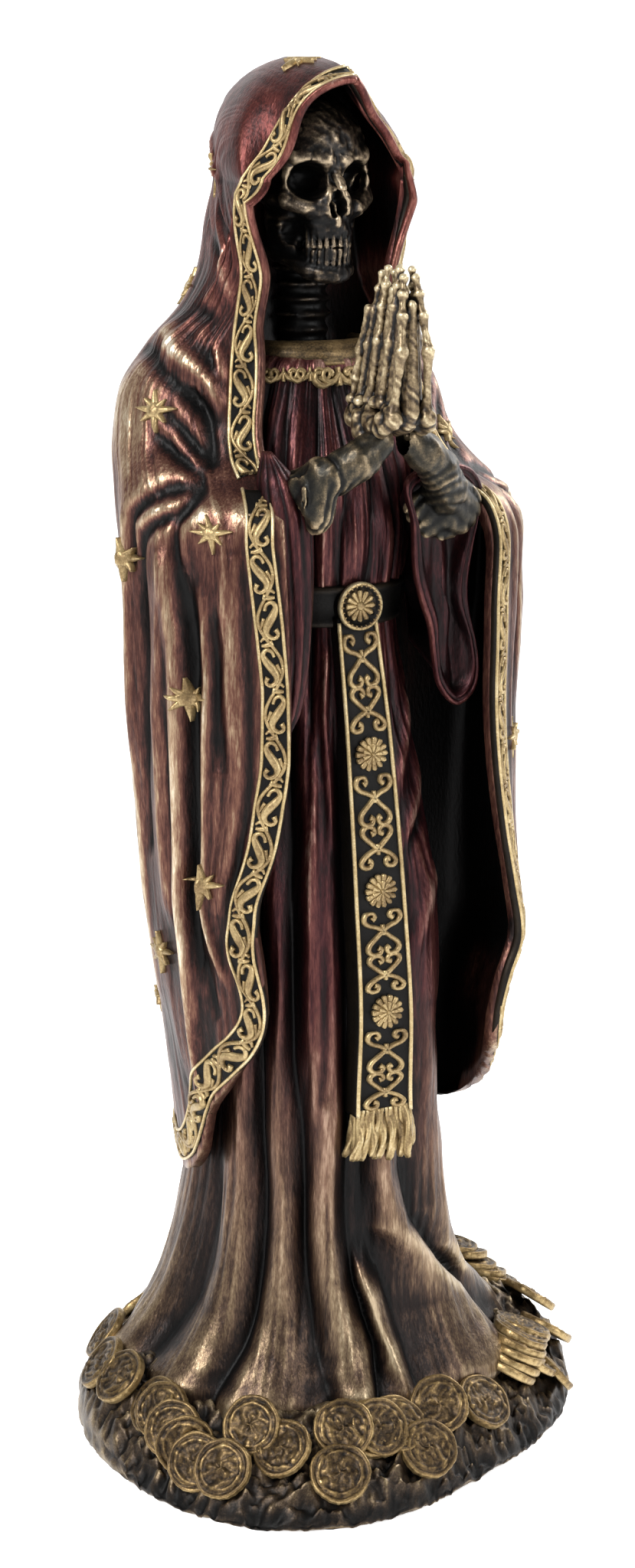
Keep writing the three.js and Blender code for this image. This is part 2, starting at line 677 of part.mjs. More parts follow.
// The left sleeve's mouth: a hanging loop, then its depth into the cloak.
function leftSleeve() {
  const loop = [
    [13.5, -27.5, 193],
    [10.6, -26.6, 188],
    [11.8, -25.4, 178],
    [14.4, -24, 168],
    [17.6, -22.8, 157],
    [20.4, -22, 148.5],
    [23.4, -21.4, 145],
    [26.4, -20.8, 146.6],
    [28.6, -20.2, 154],
    [29, -20, 166],
    [28, -20.4, 178],
    [26.4, -21.6, 187],
    [20, -25, 194],
  ];
  const middle = [20.5, -23, 170];
  const ring = (share, back) =>
    loop.map(([x, y, z]) => [
      mix(middle[0], x, share) + back * 0.35,
      mix(middle[1], y, share) + back,
      mix(middle[2], z, share),
    ]);
  const outside = loft([ring(0.99, 0), ring(1.05, 1.4), ring(0.98, 4), ring(0.8, 24)]);
  const hollow = loft([ring(0.8, -3), ring(0.82, 1), ring(0.72, 9)]);
  return outside.subtract(hollow);
}

// The right sleeve hangs edge on between the cloak's front edge and the dress.
function rightSleeve() {
  const rows = [
    [143, -18.8, -22.6, 1.2, 2],
    [148, -18.4, -22.8, 3, 4],
    [160, -17.6, -22.2, 4, 6],
    [174, -17, -21.4, 4.4, 6.6],
    [186, -17.6, -21.6, 4.6, 6.4],
    [193, -18.8, -20.6, 3.6, 5],
    [199, -20, -18.6, 0.8, 1.4],
  ];
  const rings = rows.map(([z, x, y, a, b]) =>
    line(12, (j) => [x + a * Math.cos(rad(30 * j)), y + b * Math.sin(rad(30 * j)), z]),
  );
  return loft(rings);
}

// Ground
const baseOutline = (bearing) =>
  52.75 +
  0.93 * Math.cos(rad(bearing + 90)) +
  4.22 * Math.cos(rad(2 * (bearing + 65.5))) +
  2.95 * Math.cos(rad(3 * (bearing + 27.5))) +
  0.58 * Math.cos(rad(4 * (bearing + 21))) +
  0.47 * Math.cos(rad(5 * (bearing - 36))) +
  1.2 * bump(bearing, 32, 24);

const BEARINGS = line(40, (j) => 9 * j - 180);
const outlinePoints = BEARINGS.map((b) =>
  [Math.sin(rad(b)), -Math.cos(rad(b))].map((v) => v * baseOutline(b)),
);
const extent = [0, 1].map((k) => {
  const values = outlinePoints.map((p) => p[k]);
  return [Math.min(...values), Math.max(...values)];
});
const BASE_SIZE = [BASE_WIDTH, BASE_DEPTH];

// A place on the ground: bearing from the front and share of the way out to the edge.
function onBase(bearing, share, height) {
  const r = baseOutline(bearing);
  const flat = [r * Math.sin(rad(bearing)), -r * Math.cos(rad(bearing))];
  const [x, y] = flat.map((v, k) => {
    const [low, high] = extent[k];
    return (share * v - (low + high) / 2 * share) * (BASE_SIZE[k] / (high - low));
  });
  return [x, y, height];
}

const moundHeight = through([
  [0, 1],
  [0.6, 0.96],
  [0.72, 0.86],
  [0.84, 0.64],
  [0.93, 0.42],
  [0.985, 0.2],
  [1, 0.1],
]);

// The mound stands higher and fuller at the sides and behind the figure.
function groundLevel(bearing, share) {
  const behind = step(Math.abs(bearing), 58, 100);
  const rough = 0.02 * Math.sin(bearing * 0.31 + share * 40) + 0.02 * Math.sin(bearing * 0.17 - share * 23);
  const level = moundHeight(share)[1] ** (1 - 0.5 * behind) * (1 + 0.3 * behind);
  return MOUND_HEIGHT * (level + rough * (1 - step(share, 0.95, 0.985)));
}

function ground() {
  const row = (share) => BEARINGS.map((b) => onBase(b, share, groundLevel(b, share)));
  return loft([BEARINGS.map((b) => onBase(b, 0.985, 0)), ...[1, 0.985, 0.92, 0.8, 0.64].map(row)]);
}

// Coins: bearing, share of the way out, height above the mound, lean outward, lean to the side.
const COINS = [
  [-92, 0.89, 0.8, 46, 6],
  [-77, 0.86, 2.6, 52, -4],
  [-67, 0.88, 2.2, 60, 22],
  [-47, 0.775, 3, 58, 0],
  [-38, 0.82, 1.2, 44, -12],
  [-50, 0.92, 1.3, 56, 0],
  [-23, 0.775, 3, 50, 0],
  [-15, 0.78, 1.6, 46, 12],
  [-24, 0.905, 1.4, 46, 0],
  [-7, 0.785, 2, 44, 14],
  [9, 0.81, 3.2, 52, -18],
  [0, 0.905, 2.2, 50, 0],
  [29, 0.85, 2, 42, -4],
  [52, 0.8, 1, 26, 18],
  [54, 0.81, 2.6, 24, 16],
  [56, 0.82, 4.2, 22, 14],
  [71, 0.79, 3.4, 22, 8],
  [65, 0.93, 1.4, 48, 12],
  [81, 0.9, 1.2, 34, 10],
  [92, 0.89, 0.8, 36, 0],
  [-104, 0.91, 1.2, 50, 0],
  [-121, 0.9, 1.1, 52, 6],
  [-140, 0.88, 0.8, 46, -6],
  [107, 0.87, 0.7, 18, 0],
  [109, 0.845, 1.5, 16, 4],
  [111, 0.82, 2.7, 14, -4],
  [113, 0.8, 4, 14, 4],
  [115, 0.775, 5.2, 12, -4],
  [132, 0.88, 1, 44, -6],
  [156, 0.9, 1, 46, 6],
  [-178, 0.88, 1, 44, 0],
  [-161, 0.9, 1, 46, 8],
];

function coin([bearing, share, lift, lean, roll]) {
  const [x, y] = onBase(bearing, share, 0);
  const place = new THREE.Matrix4().makeTranslation(x, y, groundLevel(bearing, share) + lift);
  place.multiply(new THREE.Matrix4().makeRotationZ(Math.atan2(x, -y)));
  place.multiply(new THREE.Matrix4().makeRotationX(rad(lean)));
  place.multiply(new THREE.Matrix4().makeRotationY(rad(roll)));
  const ring = (z) =>
    line(10, (j) => {
      const p = new THREE.Vector3(Math.cos(rad(36 * j)), Math.sin(rad(36 * j)), 0);
      return p.multiplyScalar(COIN_DIAMETER / 2).setZ(z).applyMatrix4(place).toArray();
    });
  return loft([ring(-COIN_THICKNESS / 2), ring(COIN_THICKNESS / 2)]);
}

// Star on the crown of the hood
function crownStar() {
  const ring = (r, z) =>
    line(16, (j) => {
      const out = r * (j % 2 ? 0.42 : 1);
      return [out * Math.sin(rad(22.5 * j)), 7.6 - out * Math.cos(rad(22.5 * j)), z];
    });
  return loft([ring(4, 270), ring(4, 272.9)]);
}

const figure = joined([
  cloak(),
  dress(),
  belt(),
  sash(),
  buckle(),
  collar(),
  neck(),
  skull(),
  palms(),
  ...hand(-1),
  ...hand(1),
  bar(RIGHT_ARM, 10),
  bar(LEFT_ARM, 10),
  leftSleeve(),
  rightSleeve(),
  crownStar(),
]);
const sized = figure.scale([CARVING, CARVING, CARVING]);
const standing = sized.translate([FIGURE_ASIDE, FIGURE_SETBACK, FOOT_LEVEL]);
const statue = joined([standing, ground(), ...COINS.map(coin)]);

// A solid as a mesh of plain triangles.
function meshOf(name, shape, material) {
  const made = shape.getMesh();
  const flat = new Float32Array(made.numVert * 3);
  for (let i = 0; i < made.numVert; i += 1) {
    for (let k = 0; k < 3; k += 1) flat[3 * i + k] = made.vertProperties[i * made.numProp + k];
  }
  const geometry = new THREE.BufferGeometry();
  geometry.setAttribute("position", new THREE.BufferAttribute(flat, 3));
  geometry.setIndex(new THREE.BufferAttribute(Uint32Array.from(made.triVerts), 1));
  const mesh = new THREE.Mesh(geometry, material);
  mesh.name = name;
  return mesh;
}

const bronze = new THREE.MeshStandardMaterial({ color: 0x6b4030, metalness: 0.8, roughness: 0.42 });
const part = new THREE.Group();
part.add(meshOf("praying_skeleton_figure", statue, bronze));

export default part;
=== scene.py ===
"""Praying hooded skeleton saint, cast in one piece with its mound of coins: the finished look.

Lengths are millimetres until a mesh is made. The figure faces -Y and its left hand is on the +X side.
"""

import math

import bpy
import numpy as np
from mathutils import Matrix, Vector


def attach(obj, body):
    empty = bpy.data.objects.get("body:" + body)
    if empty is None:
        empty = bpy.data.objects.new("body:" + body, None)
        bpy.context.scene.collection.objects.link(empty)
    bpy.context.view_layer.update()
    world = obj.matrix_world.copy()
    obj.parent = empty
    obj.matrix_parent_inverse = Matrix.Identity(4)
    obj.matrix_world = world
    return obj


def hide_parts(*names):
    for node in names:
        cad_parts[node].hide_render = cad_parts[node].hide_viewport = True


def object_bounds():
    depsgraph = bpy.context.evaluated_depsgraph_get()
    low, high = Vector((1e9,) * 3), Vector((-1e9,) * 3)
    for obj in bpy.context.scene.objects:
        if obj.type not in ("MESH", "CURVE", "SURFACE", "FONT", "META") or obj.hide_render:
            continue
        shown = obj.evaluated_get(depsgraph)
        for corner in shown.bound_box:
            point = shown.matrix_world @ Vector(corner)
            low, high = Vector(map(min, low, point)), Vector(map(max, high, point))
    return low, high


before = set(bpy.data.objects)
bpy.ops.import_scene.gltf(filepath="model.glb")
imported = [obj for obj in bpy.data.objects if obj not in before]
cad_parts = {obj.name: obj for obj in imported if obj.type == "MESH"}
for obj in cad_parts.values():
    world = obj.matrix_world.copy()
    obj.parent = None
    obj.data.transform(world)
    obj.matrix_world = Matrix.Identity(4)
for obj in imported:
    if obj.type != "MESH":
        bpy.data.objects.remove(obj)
CAD_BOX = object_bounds()

# Sizes in millimetres, as in the part's source.
FIGURE_SETBACK = 6.0
FIGURE_ASIDE = -2.1
FOOT_LEVEL = 12.0
BASE_WIDTH = 111.5
BASE_DEPTH = 103.0
MOUND_HEIGHT = 17.5
COIN_DIAMETER = 12.6
COIN_THICKNESS = 1.8
CLOAK_THICKNESS = 2.3
BUCKLE_DIAMETER = 9.4
SASH_THICKNESS = 2.4
MM = 0.001


# Curves and shares
def mix(a, b, t):
    return a + (b - a) * t


def step(t, low, high):
    f = np.clip((np.asarray(t, float) - low) / (high - low), 0, 1)
    return f * f * (3 - 2 * f)


def bump(t, middle, width):
    return np.exp(-(((np.asarray(t, float) - middle) / width) ** 2))


def through(rows):
    """A smooth curve through rows of station and values, which never overshoots a row."""
    table = np.array(rows, float)
    at, values = table[:, 0], table[:, 1:]
    rise = np.diff(values, axis=0) / np.diff(at)[:, None]
    before = np.vstack([rise[:1], rise])
    after = np.vstack([rise, rise[-1:]])
    total = np.where(np.abs(before + after) < 1e-12, 1, before + after)
    lean = np.where(before * after > 0, 2 * before * after / total, 0)

    def curve(t):
        t = np.asarray(t, float)
        i = np.clip(np.searchsorted(at, t, side="left") - 1, 0, len(at) - 2)
        gap = at[i + 1] - at[i]
        f = np.clip((t - at[i]) / gap, 0, 1)[..., None]
        gap = gap[..., None]
        near = (1 + 2 * f) * (1 - f) ** 2 * values[i] + f * (1 - f) ** 2 * gap * lean[i]
        far = f * f * (3 - 2 * f) * values[i + 1] + f * f * (f - 1) * gap * lean[i + 1]
        return np.moveaxis(near + far, -1, 0)

    return curve


def grain(x, y, seed):
    """Smooth noise from -1 to 1 with one swell about every unit of x and y."""
    table = np.random.default_rng(seed).uniform(-1, 1, (64, 64))
    x, y = np.broadcast_arrays(np.asarray(x, float), np.asarray(y, float))
    i, j = np.floor(x).astype(int), np.floor(y).astype(int)
    f, g = x - i, y - j
    f, g = f * f * (3 - 2 * f), g * g * (3 - 2 * g)
    a, b = table[i % 64, j % 64], table[(i + 1) % 64, j % 64]
    c, d = table[i % 64, (j + 1) % 64], table[(i + 1) % 64, (j + 1) % 64]
    return mix(mix(a, b, f), mix(c, d, f), g)


def folds(at, ridges, sharp=0.85):
    """Folds of cloth: rounded ridges on the given lines with a valley halfway between each pair."""
    ridges = np.array(ridges, float)
    i = np.clip(np.searchsorted(ridges, at) - 1, 0, len(ridges) - 2)
    f = np.clip((at - ridges[i]) / (ridges[i + 1] - ridges[i]), 0, 1)
    return np.abs(np.cos(math.pi * f)) ** sharp


# Mantle: level sections with height, middle, right and left half width, reach to the back and front,
# and the bearing from the back of the right and of the left front edge.
mantle_section = through(
    [
        [40, -7.5, 30.5, 31.2, 35, 27, 125, 121],
        [64, -7.5, 33.2, 34.5, 34.8, 29.5, 129, 122],
        [78, -7.5, 35.5, 35.4, 34.5, 31.5, 131, 125],
        [88, -7.5, 37, 37.6, 34.5, 33, 134, 124],
        [97, -7.2, 37.8, 40.8, 34, 34, 133.5, 121],
        [108, -6.3, 38.5, 40.3, 33, 33.5, 132.5, 126],
        [120, -5, 39.2, 40.3, 32, 33, 140, 133],
        [135, -3.5, 40.2, 40.8, 30.7, 33, 147, 139],
        [150, -2, 41, 42, 29.5, 33, 149.5, 141.5],
        [165, -1, 41, 43.5, 29, 32.5, 150, 141.5],
        [178, 0, 41.6, 44, 28.5, 32, 150.5, 139.5],
        [187, 1.5, 41.6, 41.5, 27.5, 30, 152, 141],
        [193, 4, 41.3, 36.5, 24.5, 25, 153, 147],
        [199, 8, 40, 33.5, 22, 24, 152, 150],
        [209, 10, 37.5, 30.5, 21.5, 23, 149, 146],
        [218, 8, 31.5, 25, 23.5, 19, 144, 140],
        [226, 3, 25, 18.5, 26.5, 15, 140, 136],
        [234, -3, 22.3, 16.7, 32, 10.5, 133, 128],
        [242, -6, 21.3, 16.8, 34.5, 8, 112, 108],
        [250, -9, 20.2, 16.8, 36.4, 8, 90, 90],
    ]
)
# The hood fans out from the cheeks: turn up from level, reach, right and left half width.
CHEEK_Y = -9
CHEEK_Z = 250
CHEEK_HALF = (20.2, 16.8)
HOOD_TURN = 102.6
hood_section = through(
    [
        [0, 36.4, 20.2, 16.8],
        [30, 36, 21.4, 17.8],
        [53, 30, 21.2, 18.4],
        [80, 24, 20, 17.8],
        [HOOD_TURN, 22, 19.4, 16.8],
    ]
)
# The hood's opening: bearing from its peak, then share of the half width and of the reach.
rim_right = through(
    [
        [0, 0, 1],
        [15, 0.2, 0.97],
        [30, 0.42, 0.85],
        [42, 0.58, 0.68],
        [52, 0.65, 0.5],
        [62, 0.7, 0.33],
        [72, 0.79, 0.17],
        [82, 0.93, 0.04],
        [90, 1, 0],
    ]
)
rim_left = through(
    [
        [0, 0, 1],
        [15, 0.17, 0.86],
        [30, 0.32, 0.67],
        [42, 0.47, 0.55],
        [52, 0.61, 0.44],
        [62, 0.74, 0.32],
        [72, 0.87, 0.19],
        [82, 0.97, 0.07],
        [90, 1, 0],
    ]
)
mantle_hem = through(
    [
        [-1, 88],
        [-0.96, 80.5],
        [-0.85, 71.5],
        [-0.74, 64],
        [-0.67, 54],
        [-0.52, 47.5],
        [-0.3, 50],
        [0, 53],
        [0.3, 52],
        [0.52, 54],
        [0.66, 59],
        [0.8, 66],
        [0.93, 73],
        [1, 85],
    ]
)
HEM_SWEEP = 130  # below this height the rows bend to follow the hem
MANTLE_TOP = CHEEK_Z + HOOD_TURN
CAD_TOP = CAD_BOX[1][2] / MM
FIGURE_PLACE = np.array([FIGURE_ASIDE, FIGURE_SETBACK, FOOT_LEVEL])


def mantle_form(share, up, inset=0.0):
    """The mantle's smooth form; share is 0 at the back and -1 and 1 at its right and left front edge."""
    share, up = np.broadcast_arrays(np.asarray(share, float), np.asarray(up, float))
    q, right = np.abs(share), share < 0
    section = mantle_section(np.minimum(up, CHEEK_Z))
    middle, half_right, half_left, back, front, edge_right, edge_left = section
    crowd = mix(4.0, 1.0, np.clip((up - 185) / 41, 0, 1))
    bearing = np.radians(150 * q - (150 - np.where(right, edge_right, edge_left)) * q**crowd)
    half = np.where(right, half_right, half_left) - inset
    depth = np.where(np.cos(bearing) > 0, back, front) - inset
    body = [np.sign(share) * half * np.sin(bearing), middle + depth * np.cos(bearing), up]
    turn = np.clip(up - CHEEK_Z, 0, HOOD_TURN)
    reach, wide_right, wide_left = hood_section(turn)
    level = np.radians(90 * q)
    half = mix(np.where(right, wide_right, wide_left), np.where(right, *CHEEK_HALF), q**6) - inset
    rims = [np.where(right, a, b) for a, b in zip(rim_right(90 * q), rim_left(90 * q))]
    near = np.where(right, step(turn, 66, HOOD_TURN), step(turn, 40, 96))
    across = mix(np.sin(level), rims[0], near)
    out = mix(np.cos(level), rims[1], near) * (reach - inset)
    over = np.radians(turn)
    hood = [half * across * np.sign(share), CHEEK_Y + out * np.cos(over), CHEEK_Z + out * np.sin(over)]
    high = (up > CHEEK_Z)[..., None]
    return np.where(high, np.stack(hood, -1), np.stack(body, -1))


def mantle_height(share, up):
    down = np.clip((HEM_SWEEP - up) / HEM_SWEEP, 0, 1)
    return np.where(up >= HEM_SWEEP, up, mix(HEM_SWEEP, mantle_hem(share)[0], down))


LONG_FOLDS = (0, 0.13, 0.26, 0.38, 0.49, 0.6, 0.694, 0.745, 0.826, 0.9, 1.02)


# Shapes: points in millimetres of the whole object's frame, with faces of three or four corners.
class Shape:
    def __init__(self, points, quads=None, triangles=None):
        self.points = np.asarray(points, float).reshape(-1, 3)
        self.quads = np.asarray([] if quads is None else quads, int).reshape(-1, 4)
        self.triangles = np.asarray([] if triangles is None else triangles, int).reshape(-1, 3)


def joined(shapes):
    starts = np.cumsum([0] + [len(s.points) for s in shapes[:-1]])
    return Shape(
        np.vstack([s.points for s in shapes]),
        np.vstack([s.quads + at for s, at in zip(shapes, starts)]),
        np.vstack([s.triangles + at for s, at in zip(shapes, starts)]),
    )


def grid_quads(rows, columns, wrap, start=0):
    i, j = np.meshgrid(np.arange(rows - 1), np.arange(columns if wrap else columns - 1), indexing="ij")
    k = (j + 1) % columns
    a, b, c, d = i * columns + j, i * columns + k, (i + 1) * columns + k, (i + 1) * columns + j
    return np.stack([a, b, c, d], -1).reshape(-1, 4) + start


def loft(rings):
    """A closed body through rings of equal length; each end is closed to its middle."""
    rings = np.asarray(rings, float)
    rows, columns = rings.shape[:2]
    points = rings.reshape(-1, 3)
    ends = [rings[0].mean(0), rings[-1].mean(0)]
    j = np.arange(columns)
    k = (j + 1) % columns
    last = (rows - 1) * columns
    foot = np.stack([np.full(columns, len(points)), k, j], -1)
    head = np.stack([np.full(columns, len(points) + 1), last + j, last + k], -1)
    return outward(Shape(np.vstack([points, ends]), grid_quads(rows, columns, True), np.vstack([foot, head])))


def volume(shape):
    p = shape.points
    parts = [shape.triangles, shape.quads[:, [0, 1, 2]], shape.quads[:, [0, 2, 3]]]
    t = np.vstack(parts)
    return np.einsum("ij,ij->i", p[t[:, 0]], np.cross(p[t[:, 1]], p[t[:, 2]])).sum() / 6


def outward(shape):
    if volume(shape) < 0:
        shape.quads = shape.quads[:, ::-1]
        shape.triangles = shape.triangles[:, ::-1]
    return shape


def strip(a, b):
    """Triangles between two lines of vertices that run side by side."""
    out, i, j = [], 0, 0
    while i < len(a) - 1 or j < len(b) - 1:
        if j == len(b) - 1 or (i < len(a) - 1 and (i + 1) / (len(a) - 1) <= (j + 1) / (len(b) - 1)):
            out.append((a[i], a[i + 1], b[j]))
            i += 1
        else:
            out.append((a[i], b[j + 1], b[j]))
            j += 1
    return out


def shell(outer, inner):
    """A closed sheet between an outer and an inner grid of points that share their edges' courses."""
    (m, n), (r, s) = outer.shape[:2], inner.shape[:2]
    o = np.arange(m * n).reshape(m, n)
    i = np.arange(r * s).reshape(r, s) + m * n
    quads = np.vstack([grid_quads(m, n, False), grid_quads(r, s, False, m * n)[:, ::-1]])
    edges = strip(i[0], o[0]) + strip(o[-1], i[-1]) + strip(o[:, 0], i[:, 0]) + strip(i[:, -1], o[:, -1])
    return outward(Shape(np.vstack([outer.reshape(-1, 3), inner.reshape(-1, 3)]), quads, np.array(edges)))


def along(points, count):
    """The same course with evenly spaced points."""
    points = np.asarray(points, float)
    run = np.concatenate([[0], np.cumsum(np.linalg.norm(np.diff(points, axis=0), axis=1))])
    at = np.linspace(0, run[-1], count)
    return np.stack([np.interp(at, run, points[:, k]) for k in range(points.shape[1])], -1)


def smooth_course(points, count, closed=False):
    """A rounded course through the points."""
    p = np.asarray(points, float)
    n = len(p)
    if closed:
        p = np.vstack([p[-1], p, p[0], p[1]])
    else:
        p = np.vstack([2 * p[0] - p[1], p, 2 * p[-1] - p[-2]])
    t = np.linspace(0, n if closed else n - 1, count, endpoint=not closed)
    i = np.minimum(t.astype(int), (n if closed else n - 1) - 1)
    f = (t - i)[:, None]
    a, b, c, d = p[i], p[i + 1], p[i + 2], p[i + 3]
    return 0.5 * (2 * b + (c - a) * f + (2 * a - 5 * b + 4 * c - d) * f**2 + (3 * b - a - 3 * c + d) * f**3)


def stroke(points, half, high, count, sink=0.35):
    """A raised, rounded stroke on the level plane, closed below: half is its half width along the way."""
    course = smooth_course(points, count)
    lean = np.gradient(course, axis=0)
    lean /= np.linalg.norm(lean, axis=1)[:, None]
    side = np.stack([-lean[:, 1], lean[:, 0]], -1)
    t = np.linspace(0, 1, count)
    wide = np.interp(t, np.linspace(0, 1, len(half)), half)
    profile = [(1, -sink), (0.85, high * 0.6), (0.35, high), (-0.35, high), (-0.85, high * 0.6), (-1, -sink)]
    rings = []
    for across, lift in profile:
        x = course[:, 0] + side[:, 0] * wide * across
        y = course[:, 1] + side[:, 1] * wide * across
        rings.append(np.stack([x, y, np.full(count, lift)], -1))
    return loft(np.stack(rings, 1))


# Bodies carved by distance: negative inside.
def carved(distance, low, high, cell):
    """The surface where the distance is nothing, as one closed skin of four-cornered faces."""
    low, high = np.array(low, float), np.array(high, float)
    count = np.ceil((high - low) / cell).astype(int) + 1
    axes = [low[k] + cell * np.arange(count[k]) for k in range(3)]
    grid = np.meshgrid(*axes, indexing="ij", sparse=True)
    d = distance(*grid).astype(np.float32)
    inside = d < 0
    n = np.array(d.shape)
    corners = [(x, y, z) for x in (0, 1) for y in (0, 1) for z in (0, 1)]
    total = sum(
        inside[x : n[0] - 1 + x, y : n[1] - 1 + y, z : n[2] - 1 + z].astype(np.int8) for x, y, z in corners
    )
    cells = (total > 0) & (total < 8)
    index = np.full(cells.shape, -1)
    index[cells] = np.arange(cells.sum())
    place = np.argwhere(cells)
    sums, hits = np.zeros((len(place), 3)), np.zeros(len(place))
    for a in corners:
        for k in range(3):
            if a[k]:
                continue
            b = np.array(a)
            b[k] = 1
            da = d[tuple((place + a).T)].astype(float)
            db = d[tuple((place + b).T)].astype(float)
            crossed = (da < 0) != (db < 0)
            f = np.where(crossed, da / np.where(crossed, da - db, 1), 0)
            point = np.array(a) + f[:, None] * (b - np.array(a))
            sums[crossed] += point[crossed]
            hits += crossed
    points = low + (place + sums / hits[:, None]) * cell
    quads = []
    for k in range(3):
        u, v = (k + 1) % 3, (k + 2) % 3
        a = np.moveaxis(inside, [k, u, v], [0, 1, 2])
        c = np.moveaxis(index, [k, u, v], [0, 1, 2])
        first, second = a[:-1, 1:-1, 1:-1], a[1:, 1:-1, 1:-1]
        ring = [c[:, :-1, :-1], c[:, 1:, :-1], c[:, 1:, 1:], c[:, :-1, 1:]]
        for turned, where in ((False, first & ~second), (True, second & ~first)):
            faces = np.stack([r[where] for r in ring], -1)
            quads.append(faces[:, ::-1] if turned else faces)
    return outward(Shape(points, np.vstack(quads)))


def ball(x, y, z, middle, radii):
    q = sum(((v - c) / r) ** 2 for v, c, r in zip((x, y, z), middle, radii))
    return (np.sqrt(q) - 1) * min(radii)


def rod(x, y, z, a, b, ra, rb=None, waist=0.0):
    """A round bone from a to b; waist thins its middle."""
    a, b = np.array(a, float), np.array(b, float)
    d = b - a
    rb = ra if rb is None else rb
    f = np.clip(((x - a[0]) * d[0] + (y - a[1]) * d[1] + (z - a[2]) * d[2]) / (d @ d), 0, 1)
    off = np.sqrt((x - a[0] - f * d[0]) ** 2 + (y - a[1] - f * d[1]) ** 2 + (z - a[2] - f * d[2]) ** 2)
    return off - mix(ra, rb, f) * (1 - waist * (1 - np.abs(2 * f - 1) ** 2.5))


def blend(a, b, k):
    h = np.clip(0.5 + 0.5 * (b - a) / k, 0, 1)
    return mix(b, a, h) - k * h * (1 - h)


def carve(a, b, k):
    return -blend(-a, b, k)


# From the body's own frame, whose axis is the figure's and whose floor is the hem's foot, to the object's.
def placed(shape):
    shape.points = shape.points + FIGURE_PLACE
    return shape


def edges_of(shape):
    q, t = shape.quads, shape.triangles
    pairs = [q[:, [k, (k + 1) % 4]] for k in range(4)] + [t[:, [k, (k + 1) % 3]] for k in range(3)]
    pairs = np.sort(np.vstack(pairs), axis=1)
    return np.unique(pairs, axis=0)


def relief_of(shape, rounds):
    """How far each point stands out of its neighbourhood, from -1 in hollows to 1 on worn edges."""
    p = shape.points
    e = edges_of(shape)
    n = len(p)
    degree = np.maximum(np.bincount(e.ravel(), minlength=n), 1)[:, None]

    def spread(values):
        columns = [
            np.bincount(e[:, 0], values[e[:, 1], k], n) + np.bincount(e[:, 1], values[e[:, 0], k], n)
            for k in range(values.shape[1])
        ]
        return np.stack(columns, -1) / degree

    parts = [shape.triangles, shape.quads[:, [0, 1, 2]], shape.quads[:, [0, 2, 3]]]
    t = np.vstack(parts)
    flat = np.cross(p[t[:, 1]] - p[t[:, 0]], p[t[:, 2]] - p[t[:, 0]])
    normal = np.stack([sum(np.bincount(t[:, c], flat[:, k], n) for c in range(3)) for k in range(3)], -1)
    normal /= np.maximum(np.linalg.norm(normal, axis=1), 1e-9)[:, None]
    soft = p
    for _ in range(rounds):
        soft = spread(soft)
    out = ((p - soft) * normal).sum(1)
    size = np.percentile(np.abs(out), 90) + 1e-6
    return np.clip(out / size, -1.5, 1.5)


def mesh_of(name, shape):
    """A mesh in metres from a shape, smooth shaded."""
    mesh = bpy.data.meshes.new(name)
    q, t = shape.quads, shape.triangles
    corners = np.concatenate([q.ravel(), t.ravel()])
    starts = np.concatenate([np.arange(len(q)) * 4, len(q) * 4 + np.arange(len(t)) * 3])
    mesh.vertices.add(len(shape.points))
    mesh.vertices.foreach_set("co", (shape.points * MM).astype(np.float32).ravel())
    mesh.loops.add(len(corners))
    mesh.loops.foreach_set("vertex_index", corners.astype(np.int32))
    mesh.polygons.add(len(starts))
    mesh.polygons.foreach_set("loop_start", starts.astype(np.int32))
    mesh.update(calc_edges=True)
    mesh.validate()
    mesh.shade_smooth()
    return mesh


def note(mesh, name, values):
    mesh.attributes.new(name, "FLOAT", "POINT").data.foreach_set("value", np.asarray(values, np.float32))


def show(name, shape, finish, rounds=6, ridge=None):
    """Makes a shape a piece of the figure, with what its finish reads: worn edges and broad ridges."""
    mesh = mesh_of(name, shape)
    if len(mesh.vertices) == len(shape.points):
        broad = relief_of(shape, rounds * 6) if ridge is None else np.zeros(len(shape.points)) + ridge
        note(mesh, "worn", relief_of(shape, rounds))
        note(mesh, "ridge", broad)
    return dress_piece(name, mesh, finish)


def dress_piece(name, mesh, finish):
    piece = bpy.data.objects.new(name, mesh)
    bpy.context.scene.collection.objects.link(piece)
    mesh.materials.clear()
    mesh.materials.append(finish)
    for face in mesh.polygons:
        face.material_index = 0
    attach(piece, "root")
    PIECES.append(piece)
    return piece


PIECES = []


# Mantle
# Creases of the mantle: course as share and height, depth (negative for a valley), width.
CREASES = (
    ([(0.87, 192.4), (0.772, 190.8), (0.667, 187), (0.64, 184), (0.628, 176)], -1.7, 1.5),
    ([(0.863, 191.6), (0.8, 187.6), (0.722, 184.5), (0.677, 180), (0.654, 168), (0.65, 158)], -1.5, 1.4),
    ([(0.862, 191), (0.819, 188), (0.782, 184), (0.768, 175), (0.766, 166)], -1.1, 1.2),
    ([(0.75, 201.6), (0.821, 196.8), (0.873, 193.3)], -1.5, 1.6),
    ([(0.799, 205.2), (0.872, 197.9), (0.885, 194.6)], -1.3, 1.4),
    ([(0.84, 210), (0.89, 203.6), (0.9, 195.3)], -1.4, 1.5),
    ([(0.556, 221.6), (0.649, 220.6), (0.866, 214.2), (0.938, 206.7)], 1.5, 1.9),
    ([(0.5, 217), (0.66, 215.4), (0.85, 209), (0.92, 203)], -1.1, 1.5),
    ([(0.808, 222.5), (0.899, 217.3), (0.942, 212.2)], 1.1, 1.5),
    ([(0.669, 235.4), (0.8, 231), (0.874, 227.9)], 0.8, 1.8),
    ([(0.66, 226), (0.83, 222.4), (0.91, 214)], -1.0, 1.5),
)
FAN = (  # lines of the hood from the cheek back and down
    ([(0.62, 262), (0.7, 247), (0.8, 236)], -0.7, 1.6),
    ([(0.55, 276), (0.66, 262), (0.74, 250)], 0.7, 1.8),
    ([(0.5, 252), (0.6, 240), (0.7, 231)], -0.6, 1.6),
)


